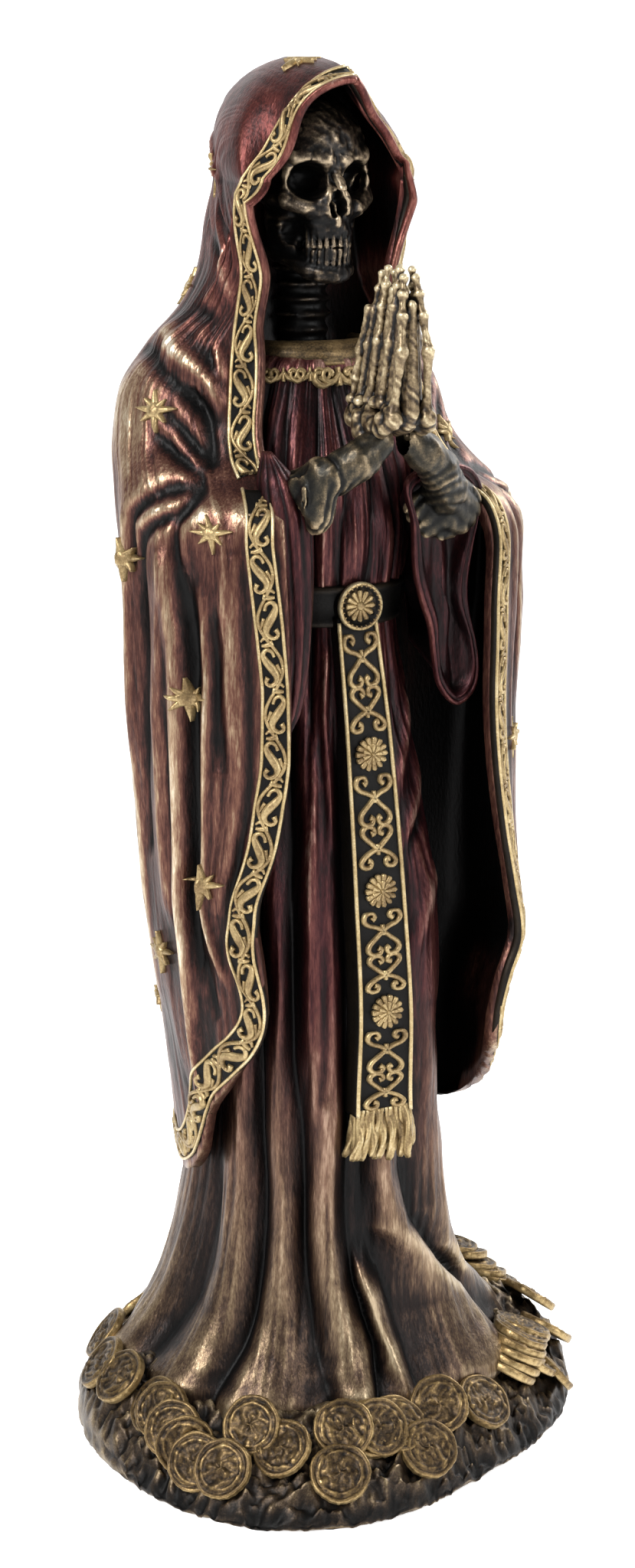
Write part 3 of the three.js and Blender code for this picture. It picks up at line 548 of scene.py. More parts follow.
def course_relief(q, up, course, depth, width):
    """A raised or sunk line along a course, which thins out at both ends."""
    course = smooth_course([(a * 99, b) for a, b in course], 14)
    near, at = np.full(q.shape, 1e9), np.zeros(q.shape)
    x, y = q * 99, up
    for k in range(len(course) - 1):
        (x0, y0), (x1, y1) = course[k], course[k + 1]
        dx, dy = x1 - x0, y1 - y0
        f = np.clip(((x - x0) * dx + (y - y0) * dy) / (dx * dx + dy * dy), 0, 1)
        off = np.hypot(x - x0 - f * dx, y - y0 - f * dy)
        closer = off < near
        near = np.where(closer, off, near)
        at = np.where(closer, (k + f) / (len(course) - 1), at)
    ends = np.sqrt(np.clip(np.minimum(at, 1 - at) * 5, 0, 1))
    return depth * np.exp(-((near / width) ** 2)) * (0.25 + 0.75 * ends)


# Long folds of the mantle's right side, as the creases.
LONG_RIGHT = (
    (
        [(0.756, 178), (0.75, 166), (0.745, 150), (0.74, 135)]
        + [(0.735, 118), (0.73, 100), (0.725, 84), (0.71, 66)],
        2.2,
        2.1,
    ),
    (
        [(0.79, 176), (0.784, 162), (0.779, 150), (0.776, 138), (0.778, 122), (0.772, 108), (0.77, 96)],
        -2.0,
        2.3,
    ),
    ([(0.742, 180), (0.715, 166), (0.69, 152), (0.672, 136), (0.667, 120), (0.664, 106)], 1.3, 2.3),
    ([(0.66, 174), (0.647, 166), (0.633, 151), (0.607, 135), (0.585, 118)], -2.0, 1.6),
    ([(0.71, 150), (0.708, 137), (0.705, 120), (0.703, 104)], -0.8, 0.9),
    (
        [(0.828, 172), (0.825, 153), (0.816, 138), (0.812, 124), (0.818, 112), (0.835, 101), (0.865, 94)],
        1.5,
        1.5,
    ),
    ([(0.857, 168), (0.855, 152), (0.852, 137)], -1.2, 2.2),
    ([(0.892, 180), (0.889, 160), (0.887, 140), (0.88, 122), (0.868, 108)], 1.3, 3.6),
    ([(0.925, 184), (0.922, 160), (0.918, 140), (0.912, 122), (0.9, 108)], -1.1, 1.6),
    ([(0.61, 186), (0.585, 172), (0.56, 152), (0.54, 130), (0.53, 108), (0.53, 86)], 1.4, 2.2),
    ([(0.5, 180), (0.49, 150), (0.48, 110), (0.48, 76)], -1.3, 2.2),
    ([(0.79, 100), (0.81, 92), (0.83, 86)], -0.8, 1.8),
)


def mantle_relief(share, up):
    """How far the mantle's folds stand out from its smooth form."""
    q = np.abs(share)
    right = share < 0
    side = np.where(right, 0.0, 9.0)
    plain = step(q, 0.9, 0.93)
    wander = 0.016 * grain(q * 9 + side, up / 26, 3) + 0.005 * grain(q * 30 + side, up / 11, 4)
    long = 1.5 * step(up, 50, 95) * (1 - step(up, 178, 196)) + 0.7 * (1 - step(up, 50, 95))
    long = long * np.where(right, 1 - 0.86 * step(q, 0.4, 0.52), 1)
    hood = 0.55 * step(up, 205, 225) * (1 - step(up, 262, 300)) * (1 - step(q, 0.75, 0.95))
    swell = 0.75 + 0.5 * grain(q * 8 + side, up / 60, 9)
    ridges = (long * swell * (1 - plain) + hood) * (folds(q + wander, LONG_FOLDS, 1.3) - 0.35)
    fine = 0.2 * (1 - plain) * grain(q * 62 + 2.4 * grain(q * 6, up / 30, 6) + side, up / 34, 5)
    fine = fine + 0.11 * grain(q * 150 + 3 * grain(q * 9, up / 20, 18) + side, up / 22, 8) * (1 - plain)
    soft = 0.35 * grain(q * 14 + side, up / 16, 19) * (1 - plain)
    at = q + 0.6 * wander
    lines = sum(course_relief(at, up, *row) for row in (*CREASES, *FAN))
    lines = lines + np.where(right, sum(course_relief(at, up, *row) for row in LONG_RIGHT), 0)
    shoulder = 1.2 * bump(up, 187, 7) * step(q, 0.45, 0.7)
    edge = 0.5 * plain * (1 - step(up, 186, 196))
    cheek = 1 - step(up, 232, CHEEK_Z) * step(q, 0.7, 0.95)
    worked = (ridges + lines + shoulder + edge) * cheek * (1 - step(up, 300, 340))
    return worked + (fine + soft) * cheek * (1 - 0.75 * step(up, 240, 300)) * (1 - step(up, 336, 350))


def mantle_place(share, up, out=0.0):
    """A place on the mantle's worked face, or out from it."""
    share, up = np.asarray(share, float), np.asarray(up, float)
    return mantle_form(share, up, -mantle_relief(share, up) - out)


def mantle_inner(share, up):
    """The lining, kept in front of the solid back wall."""
    p = mantle_form(share, up, CLOAK_THICKNESS)
    wall = mix(4, 8, step(up, 200, 225))
    over = p[..., 1] > wall
    level = (wall - CHEEK_Y) / np.where(over, p[..., 1] - CHEEK_Y, 1)
    high = np.where(up > CHEEK_Z, CHEEK_Z + (p[..., 2] - CHEEK_Z) * level, p[..., 2])
    return np.stack([p[..., 0], np.minimum(p[..., 1], wall), np.where(over, high, p[..., 2])], -1)


LINING_SHADE = -0.7  # how dark the mantle's lining is: painted shade inside the hood and the mantle


def mantle():
    near = np.concatenate([np.linspace(0.55, 0.9, 76), np.linspace(0.9, 1, 22)[1:]])
    far = np.concatenate([np.linspace(0.55, 0.9, 50), np.linspace(0.9, 1, 16)[1:]])
    shares = np.concatenate([-near[::-1], np.linspace(-0.55, 0.55, 86)[1:-1], far])
    fan = MANTLE_TOP - np.linspace(0, 1, 52) * HOOD_TURN
    shoulders, sides, foot = np.linspace(249.2, 204, 52), np.linspace(203.3, 130, 90), np.linspace(129, 0, 72)
    ups = np.concatenate([fan, shoulders, sides, foot])
    s, u = np.meshgrid(shares, ups)
    outer = mantle_place(s, mantle_height(s, u))
    few = np.concatenate([[0.1, 0.2, 0.3, 0.4], np.linspace(0.5, 1, 18)])
    s2, u2 = np.meshgrid(np.concatenate([-few[::-1], [0], few]), ups[::4])
    u2[-1] = 0
    inner = mantle_inner(s2, mantle_height(s2, u2))
    shape = placed(shell(outer, inner))
    shape.points[:, 2] = np.minimum(shape.points[:, 2], CAD_TOP - 0.05)
    h = mantle_height(s, u)
    rubbed_and_highlight = 3 * bump(h, 203, 13) * bump(np.abs(s), 0.61, 0.14)  # the shoulders are rubbed pale, with a painted highlight where light falls on them
    dull = 1.6 * step(np.abs(s), 0.965, 0.99)  # and the front edges are not
    # The lining is set dark throughout: painted shade inside the hood and the mantle.
    ridge = np.full(len(shape.points), LINING_SHADE)
    ridge[: s.size] = np.clip(mantle_relief(s, h) / 1.1 + rubbed_and_highlight - dull, -1.5, 3).ravel()
    return shape, ridge


# Dress: level sections with height, half width, reach to the front and back, depth of the folds.
dress_section = through(
    [
        [-5, 37, 35, 38, 2],
        [2, 43, 38, 42, 3.4],
        [5, 42.4, 37.6, 41.5, 4],
        [9, 39, 35.4, 38.5, 4.6],
        [14, 35, 32.6, 35, 4.8],
        [22, 30.8, 30.2, 32, 4.8],
        [34, 27.2, 28.6, 29.6, 4.6],
        [50, 24.8, 27.4, 27.4, 4.4],
        [78, 23.8, 26.6, 25.5, 3.8],
        [105, 23.6, 25.2, 24.5, 3.2],
        [125, 20.8, 23, 22, 2.6],
        [143, 17.8, 20.4, 20, 2],
        [158, 15.6, 18, 18, 1.3],
        [167, 15.2, 17.4, 18, 0.8],
        [171, 16.6, 19, 19, 1],
        [180, 17.6, 20, 20, 1.2],
        [192, 19, 18, 18, 1.1],
        [203, 20, 13, 16, 0.9],
        [210, 18.6, 10, 14, 0.6],
        [214.6, 15.8, 9.1, 12.6, 0.2],
        [217, 12, 5.5, 11, 0.1],
    ]
)
# Skirt: the bearing of each valley and ridge in turn, at these heights, and how far each stands
# out as a share of the folds' depth. The ridges sweep sideways where the hem spreads on the mound.
SKIRT_HEIGHTS = (4, 9, 14, 20, 28, 38, 50, 60, 75, 90, 105, 120, 135, 150)


def upright_fold(bearing):
    return (bearing,) * len(SKIRT_HEIGHTS)


SKIRT = (
    (upright_fold(-196), -0.8),
    (upright_fold(-180), 0.8),
    (upright_fold(-163), -0.8),
    (upright_fold(-146), 0.9),
    ((-126, -126, -128, -130, -130, -130, -130, -130, -130, -130, -130, -130, -130, -130), -0.9),
    ((-100, -103, -107, -113, -115, -115, -115, -113, -111, -109, -107, -106, -104, -102), 1.1),
    ((-89, -87.5, -86, -82, -81, -82, -86, -86, -86, -86, -86, -86, -86, -86), -0.9),
    ((-70, -69.5, -67.5, -65.5, -65, -66, -65, -66, -67, -67, -68, -70, -72, -72), 1.0),
    ((-58, -56.5, -54.5, -53, -52.5, -52, -53, -54, -54, -53, -55, -59, -60, -59), -1.0),
    ((-49, -48, -45, -44, -43, -41.5, -42.5, -43, -43, -42, -45, -49, -50, -49), 0.9),
    ((-22, -24, -26, -27.5, -30, -31.5, -32, -33, -36.5, -36.5, -37.5, -38.5, -42, -40), -0.9),
    ((-12, -13, -14.5, -17, -19.5, -22, -22, -22, -23, -23.5, -24, -25, -28, -28), 1.2),
    ((-7, -5.5, -4, -7, -10, -11.5, -12, -12, -12, -12, -12.5, -13, -14, -15), -1.3),
    ((1.5, 1, -0.5, -4, -8, -9, -9, -9, -9, -9, -9, -9, -10, -10), 0.8),
    ((8, 7.5, 7, 6, 1, -5, -6, -6, -6, -6, -6, -6, -6, -6), -0.7),
    ((52, 47, 44, 40, 24, 8, 2, 2, 2, 2, 2, 2, 2, 2), 1.1),
    ((66, 62, 60, 56, 36.5, 22, 17, 17, 18, 16, 14, 14, 16, 18), -1.3),
    ((95, 88, 78, 66, 53, 46, 45, 40, 36, 33, 32, 32, 34, 36), 0.9),
    ((106, 104, 98, 86, 72, 64, 62, 60, 60, 60, 62, 62, 62, 62), -0.9),
    ((118, 116, 112, 104, 92, 84, 80, 80, 80, 80, 80, 80, 80, 80), 0.8),
    ((131, 130, 127, 120, 108, 100, 98, 98, 98, 98, 98, 98, 98, 98), -0.8),
    ((146, 146, 143, 136, 126, 118, 114, 112, 112, 112, 112, 112, 112, 112), 0.8),
    ((163, 163, 160, 152, 146, 140, 134, 130, 130, 130, 130, 130, 130, 130), -0.8),
    ((180, 180, 178, 172, 166, 160, 152, 146, 146, 146, 146, 146, 146, 146), 0.8),
    ((197, 197, 197, 190, 186, 180, 170, 163, 163, 163, 163, 163, 163, 163), -0.8),
    ((214, 214, 214, 210, 206, 200, 190, 180, 180, 180, 180, 180, 180, 180), 0.8),
    ((228, 228, 228, 226, 224, 222, 210, 197, 197, 197, 197, 197, 197, 197), -0.8),
)
SKIRT_LINES = (  # folds drawn across the others: course as bearing and height, height out, width
    ([(50, 152), (39, 142), (20, 130), (12, 114)], 0.9, 1.9),
    ([(50, 140), (42, 130), (26, 121), (14, 106)], 0.8, 2),
    ([(46, 112), (33, 104), (22, 94), (20, 80)], 0.8, 2.2),
    ([(52, 132), (49, 110), (46, 96), (42, 83)], 0.9, 4.4),
    ([(42, 123), (25, 117), (15, 105)], -0.8, 1.7),
    ([(50, 78), (45, 63), (54, 47), (58, 34)], 0.7, 2.2),
    ([(-24.5, 140), (-24, 120), (-24, 90), (-23, 66)], -0.9, 1.3),
    ([(-29, 128), (-29.5, 112), (-29.5, 86), (-27, 62)], 0.6, 1.1),
    ([(-20, 158), (-22, 146), (-20, 132), (-18, 118)], 0.9, 1.1),
)
WAIST_FOLDS = (-198, *range(-180, 181, 18), 198)
SHARE_OF_DEGREE = 0.42 / 99  # a degree round the skirt is 0.42 mm, and a share is 99 mm


def skirt_folds(bearing, height):
    places = [np.interp(height, SKIRT_HEIGHTS, row) for row, _ in SKIRT]
    fades = 1 - step(height, 24, 36)
    values = [np.full(np.shape(bearing), value) for _, value in SKIRT]
    for k in (13, 14):  # the short fold at the foot ends in the valley beside it
        values[k] = mix(-1.3, values[k], fades)
    out = np.zeros(np.shape(bearing))
    for k in range(len(SKIRT) - 1):
        f = (bearing - places[k]) / (places[k + 1] - places[k])
        rise = SKIRT[k + 1][1] > SKIRT[k][1]
        f = np.where((f >= 0) & (f < 1), f, np.nan)
        bent = f**0.72 if rise else 1 - (1 - f) ** 0.72
        shape = mix(values[k], values[k + 1], 0.5 - 0.5 * np.cos(math.pi * bent))
        out = np.where(np.isnan(f), out, shape)
    return out


def dress_relief(bearing, height):
    """How far the dress stands out from its smooth form."""
    depth = dress_section(height)[3]
    wander = 1.6 * grain(bearing / 21, height / 34, 11) + 0.8 * grain(bearing / 9, height / 15, 12)
    gathered = step(height, 128, 158)
    waist = folds(bearing + 3 * wander, WAIST_FOLDS) - 0.45
    fold = mix(0.5 * skirt_folds(bearing + wander, height), waist, gathered)
    lines = 0
    for course, out, width in SKIRT_LINES:
        shares = [(b * SHARE_OF_DEGREE, h) for b, h in course]
        lines = lines + course_relief(bearing * SHARE_OF_DEGREE, height, shares, out, width)
    fine = 0.24 * grain(bearing / 3.1 + 1.5 * grain(bearing / 20, height / 20, 15), height / 22, 13)
    fine = fine + 0.16 * grain(bearing / 1.5, height / 14, 14)
    foot = 0.5 * grain(bearing / 7, height / 3.4, 16) * (1 - step(height, 6, 20))
    soft = 0.3 * grain(bearing / 12, height / 12, 20)
    return depth * fold + lines + soft + fine * (0.5 + 0.5 * step(height, 0, 20)) + foot


def dress_radius(bearing, height, more=None):
    half, front, back, _ = dress_section(height)
    turn = np.radians(bearing)
    extra = 0.0 if more is None else more
    reach = np.where(np.cos(turn) > 0, front, back)
    base = 1 / np.hypot(np.sin(turn) / (half + extra), np.cos(turn) / (reach + extra))
    slim = 1.3 * bump(bearing, 72, 34) * step(height, 12, 24) * (1 - step(height, 60, 90))
    return base if more is not None else base - slim + dress_relief(bearing, height)


def dress_ring(bearings, height, more=None, lift=0.0):
    r = dress_radius(bearings, np.full(len(bearings), float(height)), more) + lift
    t = np.radians(bearings)
    return np.stack([r * np.sin(t), -r * np.cos(t), np.full(len(r), float(height))], -1)


def dress():
    front = np.linspace(-118, 118, 330)
    bearings = np.concatenate([front, np.linspace(118, 242, 66)[1:-1]])
    wrapped = (bearings + 180) % 360 - 180
    foot, skirt = np.linspace(-5, 20, 44), np.linspace(20.7, 165, 132)[1:]
    heights = np.concatenate([foot, skirt, np.linspace(165.8, 217, 48)])
    shape = loft([dress_ring(wrapped, h) for h in heights])
    depths = np.array([dress_section(h)[3] for h in heights])
    ridge = np.array([dress_relief(wrapped, np.full(len(wrapped), h)) for h in heights])
    ridge = ridge / (0.5 * depths + 0.3)[:, None]
    ridge = np.clip(np.concatenate([ridge.ravel(), [0, 0]]), -1.5, 1.5)
    return placed(shape), ridge


# Belt, sash and collar
def belt():
    bearings = np.linspace(-180, 180, 120, endpoint=False)
    rows = [(162.5, 0.1), (162.9, 1.2), (163.8, 1.5), (164.4, 1.1)]
    rows += [(169.4, 1.1), (170, 1.5), (170.9, 1.2), (171.3, 0.1)]
    return placed(loft([dress_ring(bearings, h, more) for h, more in rows]))


# Height, middle, width, and how far the sash's face stands in front of the body's axis.
sash_section = through(
    [
        [56, 0.9, 14.5, 30.4],
        [64, 0.7, 13, 30],
        [85, 1.4, 12.3, 29.2],
        [110, 0.8, 11.6, 27.4],
        [139, 0.4, 10.4, 23.6],
        [165, -0.8, 8.8, 20.2],
    ]
)
SASH_FOOT = 63.5


def sash_place(across, height, out=0.0):
    """A place on the sash's face: across from -1 to 1."""
    middle, width, face = sash_section(height)
    x, y = middle + across * width / 2, -face + 0.5 * across**2 - out
    return np.stack([x, y, height * np.ones_like(across)], -1)


def sash():
    across = np.array([-1, -0.98, -0.94, -0.9, -0.84, -0.5, 0, 0.5, 0.84, 0.9, 0.94, 0.98, 1])
    raised = np.array([-0.3, 0, 0.05, -0.1, -0.35, -0.35, -0.35, -0.35, -0.35, -0.1, 0.05, 0, -0.3])
    rings = []
    for height in np.linspace(SASH_FOOT, 165, 150):
        face = sash_place(across, height, raised)
        back = face[::-1].copy()
        back[:, 1] = face[6, 1] + SASH_THICKNESS + 3
        rings.append(np.vstack([face, back[[0, 6, 12]]]))
    return placed(loft(rings))


def sash_lines():
    """The raised line along each side of the sash."""
    t = np.linspace(0, 2 * math.pi, 8, endpoint=False)
    made = []
    for across in (-0.93, 0.93):
        rings = []
        for height in np.linspace(SASH_FOOT, 164, 110):
            x, y, z = sash_place(np.array(across), height, 0.05)
            rings.append(np.stack([x + 0.46 * np.cos(t), y + 0.42 * np.sin(t), np.full(8, z)], -1))
        made.append(loft(rings))
    return placed(joined(made))


COLLAR_MIDDLE = 5.5


def collar_ring(height, radius, count=160):
    t = np.linspace(0, 2 * math.pi, count, endpoint=False)
    swing = radius + 0.18 * np.sin(3 * t + height)
    x, y = swing * np.sin(t) * 1.06, COLLAR_MIDDLE - swing * np.cos(t)
    return np.stack([x, y, np.full(count, float(height))], -1)


def collar():
    """A broad smooth band above a rolled line, standing proud of the dress."""
    rows = [(213, 11), (213.6, 14), (214.2, 14.7), (214.8, 14.6)]
    rows += [(215.1, 14.1), (215.5, 14.2), (216.2, 14.5), (217, 14.2)]
    rows += [(217.3, 13.8), (217.8, 13.6), (218.5, 12.9), (218.8, 11.6), (218.4, 10.6), (217, 9.6), (213, 9)]
    return placed(loft([collar_ring(h, r) for h, r in rows]))


def neck():
    def bones(x, y, z):
        d = rod(x, y, z, (0, 7, 208), (0, 6, 236), 5.2, 4.6)
        for k in range(7):
            at = 214 + 3.1 * k
            d = blend(d, ball(x, y, z, (0, 6.6 - 0.12 * k, at), (5.6, 5.3, 1.2)), 0.9)
            d = blend(d, ball(x, y, z, (0.3 * math.sin(2 * k), 2, at), (1.9, 1.1, 0.8)), 0.4)
        return d + 0.16 * grain(x / 1.6 + y / 3, z / 1.5, 33)

    return placed(carved(bones, (-6.6, 0, 207), (6.6, 12.8, 237), 0.42))


# Skull
def skull_distance(x0, y, z):
    x = np.abs(x0)
    d = ball(x, y, z, (0, 5, 256.5), (10.6, 14, 11.5))
    d = blend(d, ball(x, y, z, (0, -3, 255.4), (8.8, 6.3, 8.4)), 2)
    d = blend(d, rod(x, y, z, (1.9, -8.5, 254.3), (7.4, -6.2, 255), 1.5), 1.3)
    d = blend(d, rod(x, y, z, (8.2, -4.6, 254.2), (8.7, -4.2, 247.2), 1.15), 0.9)
    d = blend(d, rod(x, y, z, (8.4, -4.6, 246.3), (5.2, -7.4, 244.8), 1.75, 1.6), 1.3)
    d = blend(d, rod(x, y, z, (8.6, -3.4, 246.4), (9.2, 5, 247), 1.3), 0.9)
    d = blend(d, ball(x, y, z, (5.4, 2.5, 243), (3.6, 6, 9.5)), 1.5)
    d = blend(d, ball(x, y, z, (0, -4.7, 245), (5.9, 5.5, 6.2)), 1.2)
    d = blend(d, rod(x, y, z, (2.3, -8, 250.5), (3, -8.6, 244.4), 1, 0.9), 0.9)
    d = blend(d, rod(x, y, z, (0, -8.7, 252.4), (0, -11.9, 248.7), 1.15, 0.8), 0.8)
    d = blend(d, rod(x, y, z, (1.9, -8.9, 248.6), (1.9, -10, 244.2), 0.75, 0.6), 0.9)
    d = blend(d, ball(x, y, z, (0, -4.8, 240.4), (5.1, 5.2, 3.2)), 1)
    d = blend(d, rod(x, y, z, (0, -10.2, 243.4), (0, -10.1, 241.8), 0.6), 0.8)
    d = blend(d, ball(x, y, z, (0, -4.4, 236), (4.6, 4.7, 3.4)), 0.6)
    d = blend(d, ball(x, y, z, (0, -4.6, 232.6), (4.9, 4.7, 2.6)), 1)
    d = blend(d, rod(x, y, z, (0, -8.3, 231.6), (2.6, -7.4, 231.8), 1.5, 1.3), 1)
    d = blend(d, rod(x, y, z, (4, -5.2, 232.6), (7.4, 2.4, 236), 1.6), 1)
    d = blend(d, rod(x, y, z, (7.4, 2.4, 236), (7.9, 3.4, 246), 1.6), 1.2)
    d = carve(d, ball(x, y, z, (5.25, -8.6, 250.3), (3.6, 7.4, 3.75)), 0.6)
    d = carve(d, ball(x, y, z, (5.3, -5.4, 250.3), (3.2, 4.6, 3.3)), 0.6)
    d = carve(d, ball(x, y, z, (0.95, -11.2, 245.1), (1.05, 4.8, 1.95)), 0.35)
    d = carve(d, ball(x, y, z, (0.4, -11.4, 247.1), (0.85, 4.2, 1.6)), 0.3)
    d = carve(d, ball(x, y, z, (7, -4.6, 240.2), (2.3, 4.4, 3)), 1)
    d = carve(d, ball(x, y, z, (5.6, -9.4, 242.4), (1.5, 1.5, 1.5)), 1)
    d = carve(d, ball(x, y, z, (11.4, -1, 255), (2, 5, 5)), 1.4)
    for k in range(5):  # teeth, from the middle outward, and the bone that swells over their roots
        turn = 0.17 + 0.31 * k
        tx, ty = 4.3 * math.sin(turn) * 1.02, -4.9 - 4.7 * math.cos(turn)
        wide = 0.6 if k < 3 else 0.68
        top, low = 240.3 - 0.12 * k, 234.3 + 0.1 * k
        d = blend(d, rod(x, y, z, (tx, ty, 237.55), (tx * 1.01, ty + 0.25, top), wide, wide * 0.8), 0.18)
        d = blend(d, rod(x, y, z, (tx * 1.01, ty + 0.2, top + 0.3), (tx, ty + 0.5, top + 2), 0.42, 0.2), 0.5)
        under = tx * 0.97
        tooth = rod(x, y, z, (under, ty + 0.15, 236.85), (under, ty + 0.35, low), wide * 0.9, wide * 0.75)
        d = blend(d, tooth, 0.18)
        d = blend(d, rod(x, y, z, (under, ty + 0.3, low - 0.2), (under, ty + 0.7, low - 1.7), 0.36, 0.2), 0.5)
    mouth = np.maximum(np.abs(z - 237.2 + 0.06 * x) - 0.13, np.abs(x) - 5)
    d = np.maximum(d, -np.maximum(mouth, y + 6.2))
    rough = grain(x0 / 1.5 + 0.4 * y, z / 1.7, 21) * 0.16 + grain(x0 / 0.6 + y, z / 0.7, 22) * 0.08
    cracks = np.abs(grain(x0 / 3.4, z / 3.1 + 0.3 * y, 23))
    brow = step(z, 243, 252)
    return d + rough + 0.1 * brow * np.exp(-((cracks / 0.05) ** 2))


def skull():
    return placed(carved(skull_distance, (-11.6, -13.6, 228.8), (11.6, 9.6, 268.6), 0.28))


# Hands: each finger's foot, knuckle and tip as distance forward and height, and its size. The thumb is
# a course, and the wrist's bones are distance aside, forward and height with a radius.
FINGERS = (
    (40, 208, 42, 220, 39.6, 233.6, 1.5),
    (35.2, 209.5, 37.4, 221.5, 38.2, 235, 1.45),
    (30.4, 209.5, 32.6, 221.5, 33.4, 235, 1.4),
    (26.6, 209.5, 28.6, 220.5, 31, 234, 1.3),
)
THUMB = ((3.9, -23.4, 207), (3.9, -25.2, 213.4), (3.6, -26.6, 219), (2.9, -28.6, 226.6))
WRIST = (
    (3.9, 24.2, 205.6, 1.9),
    (4.4, 28.4, 204.6, 2.1),
    (4.4, 32.6, 205.8, 2),
    (4.3, 36.6, 204.8, 2),
    (3.7, 40, 206.6, 1.9),
)
# A finger's bones: where each starts and ends along the finger, and its thickness.
FINGER_BONES = ((0, 0.46, 1), (0.49, 0.715, 0.95), (0.74, 0.87, 0.86), (0.885, 0.985, 0.74))


def finger_at(finger, f):
    y0, z0, y1, z1, y2, z2, _ = finger
    g = f * 2 if f < 0.5 else f * 2 - 1
    y, z = (mix(y0, y1, g), mix(z0, z1, g)) if f < 0.5 else (mix(y1, y2, g), mix(z1, z2, g))
    return mix(3.6, 1.25, f**1.6), -y, z


def hands_distance(x0, y, z):
    x = np.abs(x0)
    d = np.full(np.broadcast(x, y, z).shape, 9.0)
    for finger in FINGERS:
        size = finger[6]
        for start, end, thick in FINGER_BONES:
            a, b = finger_at(finger, start), finger_at(finger, end)
            r = size * thick * 0.92
            d = blend(d, rod(x, y, z, a, b, r, r * 0.93, waist=0.42), 0.3)
        a, b = finger_at(finger, 0), finger_at(finger, 0.8)
        d = blend(d, rod(x, y, z, (0, a[1], a[2]), (0, b[1], b[2]), 1.9, 1.0), 0.3)
    for first, second in zip(FINGERS[:-1], FINGERS[1:]):  # the cast is solid between the bones
        a, b = ((np.array(finger_at(first, f)) + finger_at(second, f)) / 2 for f in (0.02, 0.84))
        d = blend(d, rod(x, y, z, (a[0] - 1.3, a[1], a[2]), (b[0] - 0.6, b[1], b[2]), 1.5, 0.9), 0.25)
    for a, b in zip(THUMB[:-1], THUMB[1:]):
        d = blend(d, rod(x, y, z, a, b, 1.15, 1.05, waist=0.35), 0.35)
    rng = np.random.default_rng(7)
    for out, fore, high, r in WRIST:
        d = blend(d, ball(x, y, z, (out, -fore, high), (r, r * 1.05, r * 1.1)), 0.5)
    for k in range(9):
        fore, high = 24.4 + 1.9 * k + rng.uniform(-0.5, 0.5), rng.uniform(206.6, 209.4)
        d = blend(d, ball(x, y, z, (rng.uniform(3.6, 4.6), -fore, high), (1.25, 1.25, 1.2)), 0.4)
    for k in range(16):
        fore, high = rng.uniform(27, 40), rng.uniform(202.4, 206.6)
        size = rng.uniform(1.2, 1.7)
        d = blend(d, ball(x, y, z, (rng.uniform(4.2, 5.4), -fore, high), (size, size, size * 1.1)), 0.35)
    d = blend(d, ball(x, y, z, (0, -32.5, 206), (3.6, 8.6, 3.4)), 0.8)
    return d + 0.1 * grain(y / 0.8, z / 0.8 + x0, 31) + 0.05 * grain(y / 0.35, z / 0.35 + x0, 32)


def hands():
    return placed(carved(hands_distance, (-7.2, -45, 200.4), (7.2, -20, 237), 0.28))


# Forearms in tight, wrinkled undersleeves: places from the wrist up, each with a radius.
RIGHT_ARM = (
    (-3, -33.6, 201.8, 3.2),
    (-7.4, -33.2, 198.2, 3.9),
    (-11.6, -30.8, 195.2, 4.1),
    (-14.4, -25.4, 192.4, 4.3),
    (-17.6, -17.6, 189.4, 4.6),
)
LEFT_ARM = (
    (3.2, -34, 202, 3.3),
    (7, -33.4, 198.8, 3.7),
    (11.2, -31.2, 195.2, 4),
    (15, -27.6, 190.8, 4.2),
    (20, -21, 185.6, 4.4),
    (26, -10, 181, 5),
)


def arm_distance(points, side):
    def distance(x, y, z):
        d = np.full(np.broadcast(x, y, z).shape, 9.0)
        for (x0, y0, z0, r0), (x1, y1, z1, r1) in zip(points[:-1], points[1:]):
            piece = rod(x, y, z, (x0, y0, z0), (x1, y1, z1), r0, r1)
            d = blend(d, piece, 0.8)
        down = (205 - z) + 0.3 * np.abs(x)
        if side < 0:
            d = blend(d, ball(x, y, z, (-14.4, -29.2, 191.2), (3.9, 4.2, 7.8)), 1)
            rings = np.exp(-(((x + 12.2 + 0.25 * (z - 196)) / 0.5) ** 2)) + np.exp(-(((x + 17) / 0.6) ** 2))
            hang = np.abs(np.sin((x * 1.05 + 0.5 * y + 0.35 * grain(z / 4, y / 5, 41)) * 1.6))
            d = d + 0.5 * rings + 0.42 * (1 - hang) * step(down, 9, 16)
        else:
            d = blend(d, ball(x, y, z, (16.4, -23.4, 186.6), (8.4, 2.9, 6.8)), 2.5)
            sag = 0.075 * (x - 15 + 0.8 * grain(z / 5, y / 5, 41)) ** 2
            droop = down + 0.6 * grain(z / 5, x / 5, 44) - sag
            d = d + 0.3 * (1 - np.abs(np.sin(droop + 1.3 * grain(x / 4, z / 4, 47)))) * step(down, 9, 14)
        rough = 0.16 * grain(x / 1.6 + z / 3, y / 1.6 - z / 4, 42)
        return d + (rough + 0.08 * grain(x / 0.7, y / 0.7 + z / 0.9, 43))

    return distance


def forearms():
    right = carved(arm_distance(RIGHT_ARM, -1), (-25, -41, 178), (-1.6, -14, 210), 0.4)
    left = carved(arm_distance(LEFT_ARM, 1), (1.6, -41, 175), (33, -6, 210), 0.4)
    return placed(joined([right, left]))


# Sleeves: the left one's mouth as a loop of places.
LEFT_LOOP = (
    (6.8, -27, 192),
    (8.9, -26, 183.7),
    (9.9, -25, 174.9),
    (11.5, -24.4, 169.1),
    (14.2, -23.6, 162.4),
    (15.3, -23, 156.9),
    (17, -22.4, 150),
    (21.1, -22, 145.6),
    (25.1, -21.6, 147.6),
    (26.5, -21.4, 152),
    (25.8, -21.4, 158),
    (23.9, -21.6, 164.8),
    (23.4, -21.8, 170.5),
    (24.6, -21.6, 177.3),
    (25.9, -21.6, 183.2),
    (26.6, -21.8, 189.2),
    (22, -24, 194),
    (13, -26.6, 195),
)


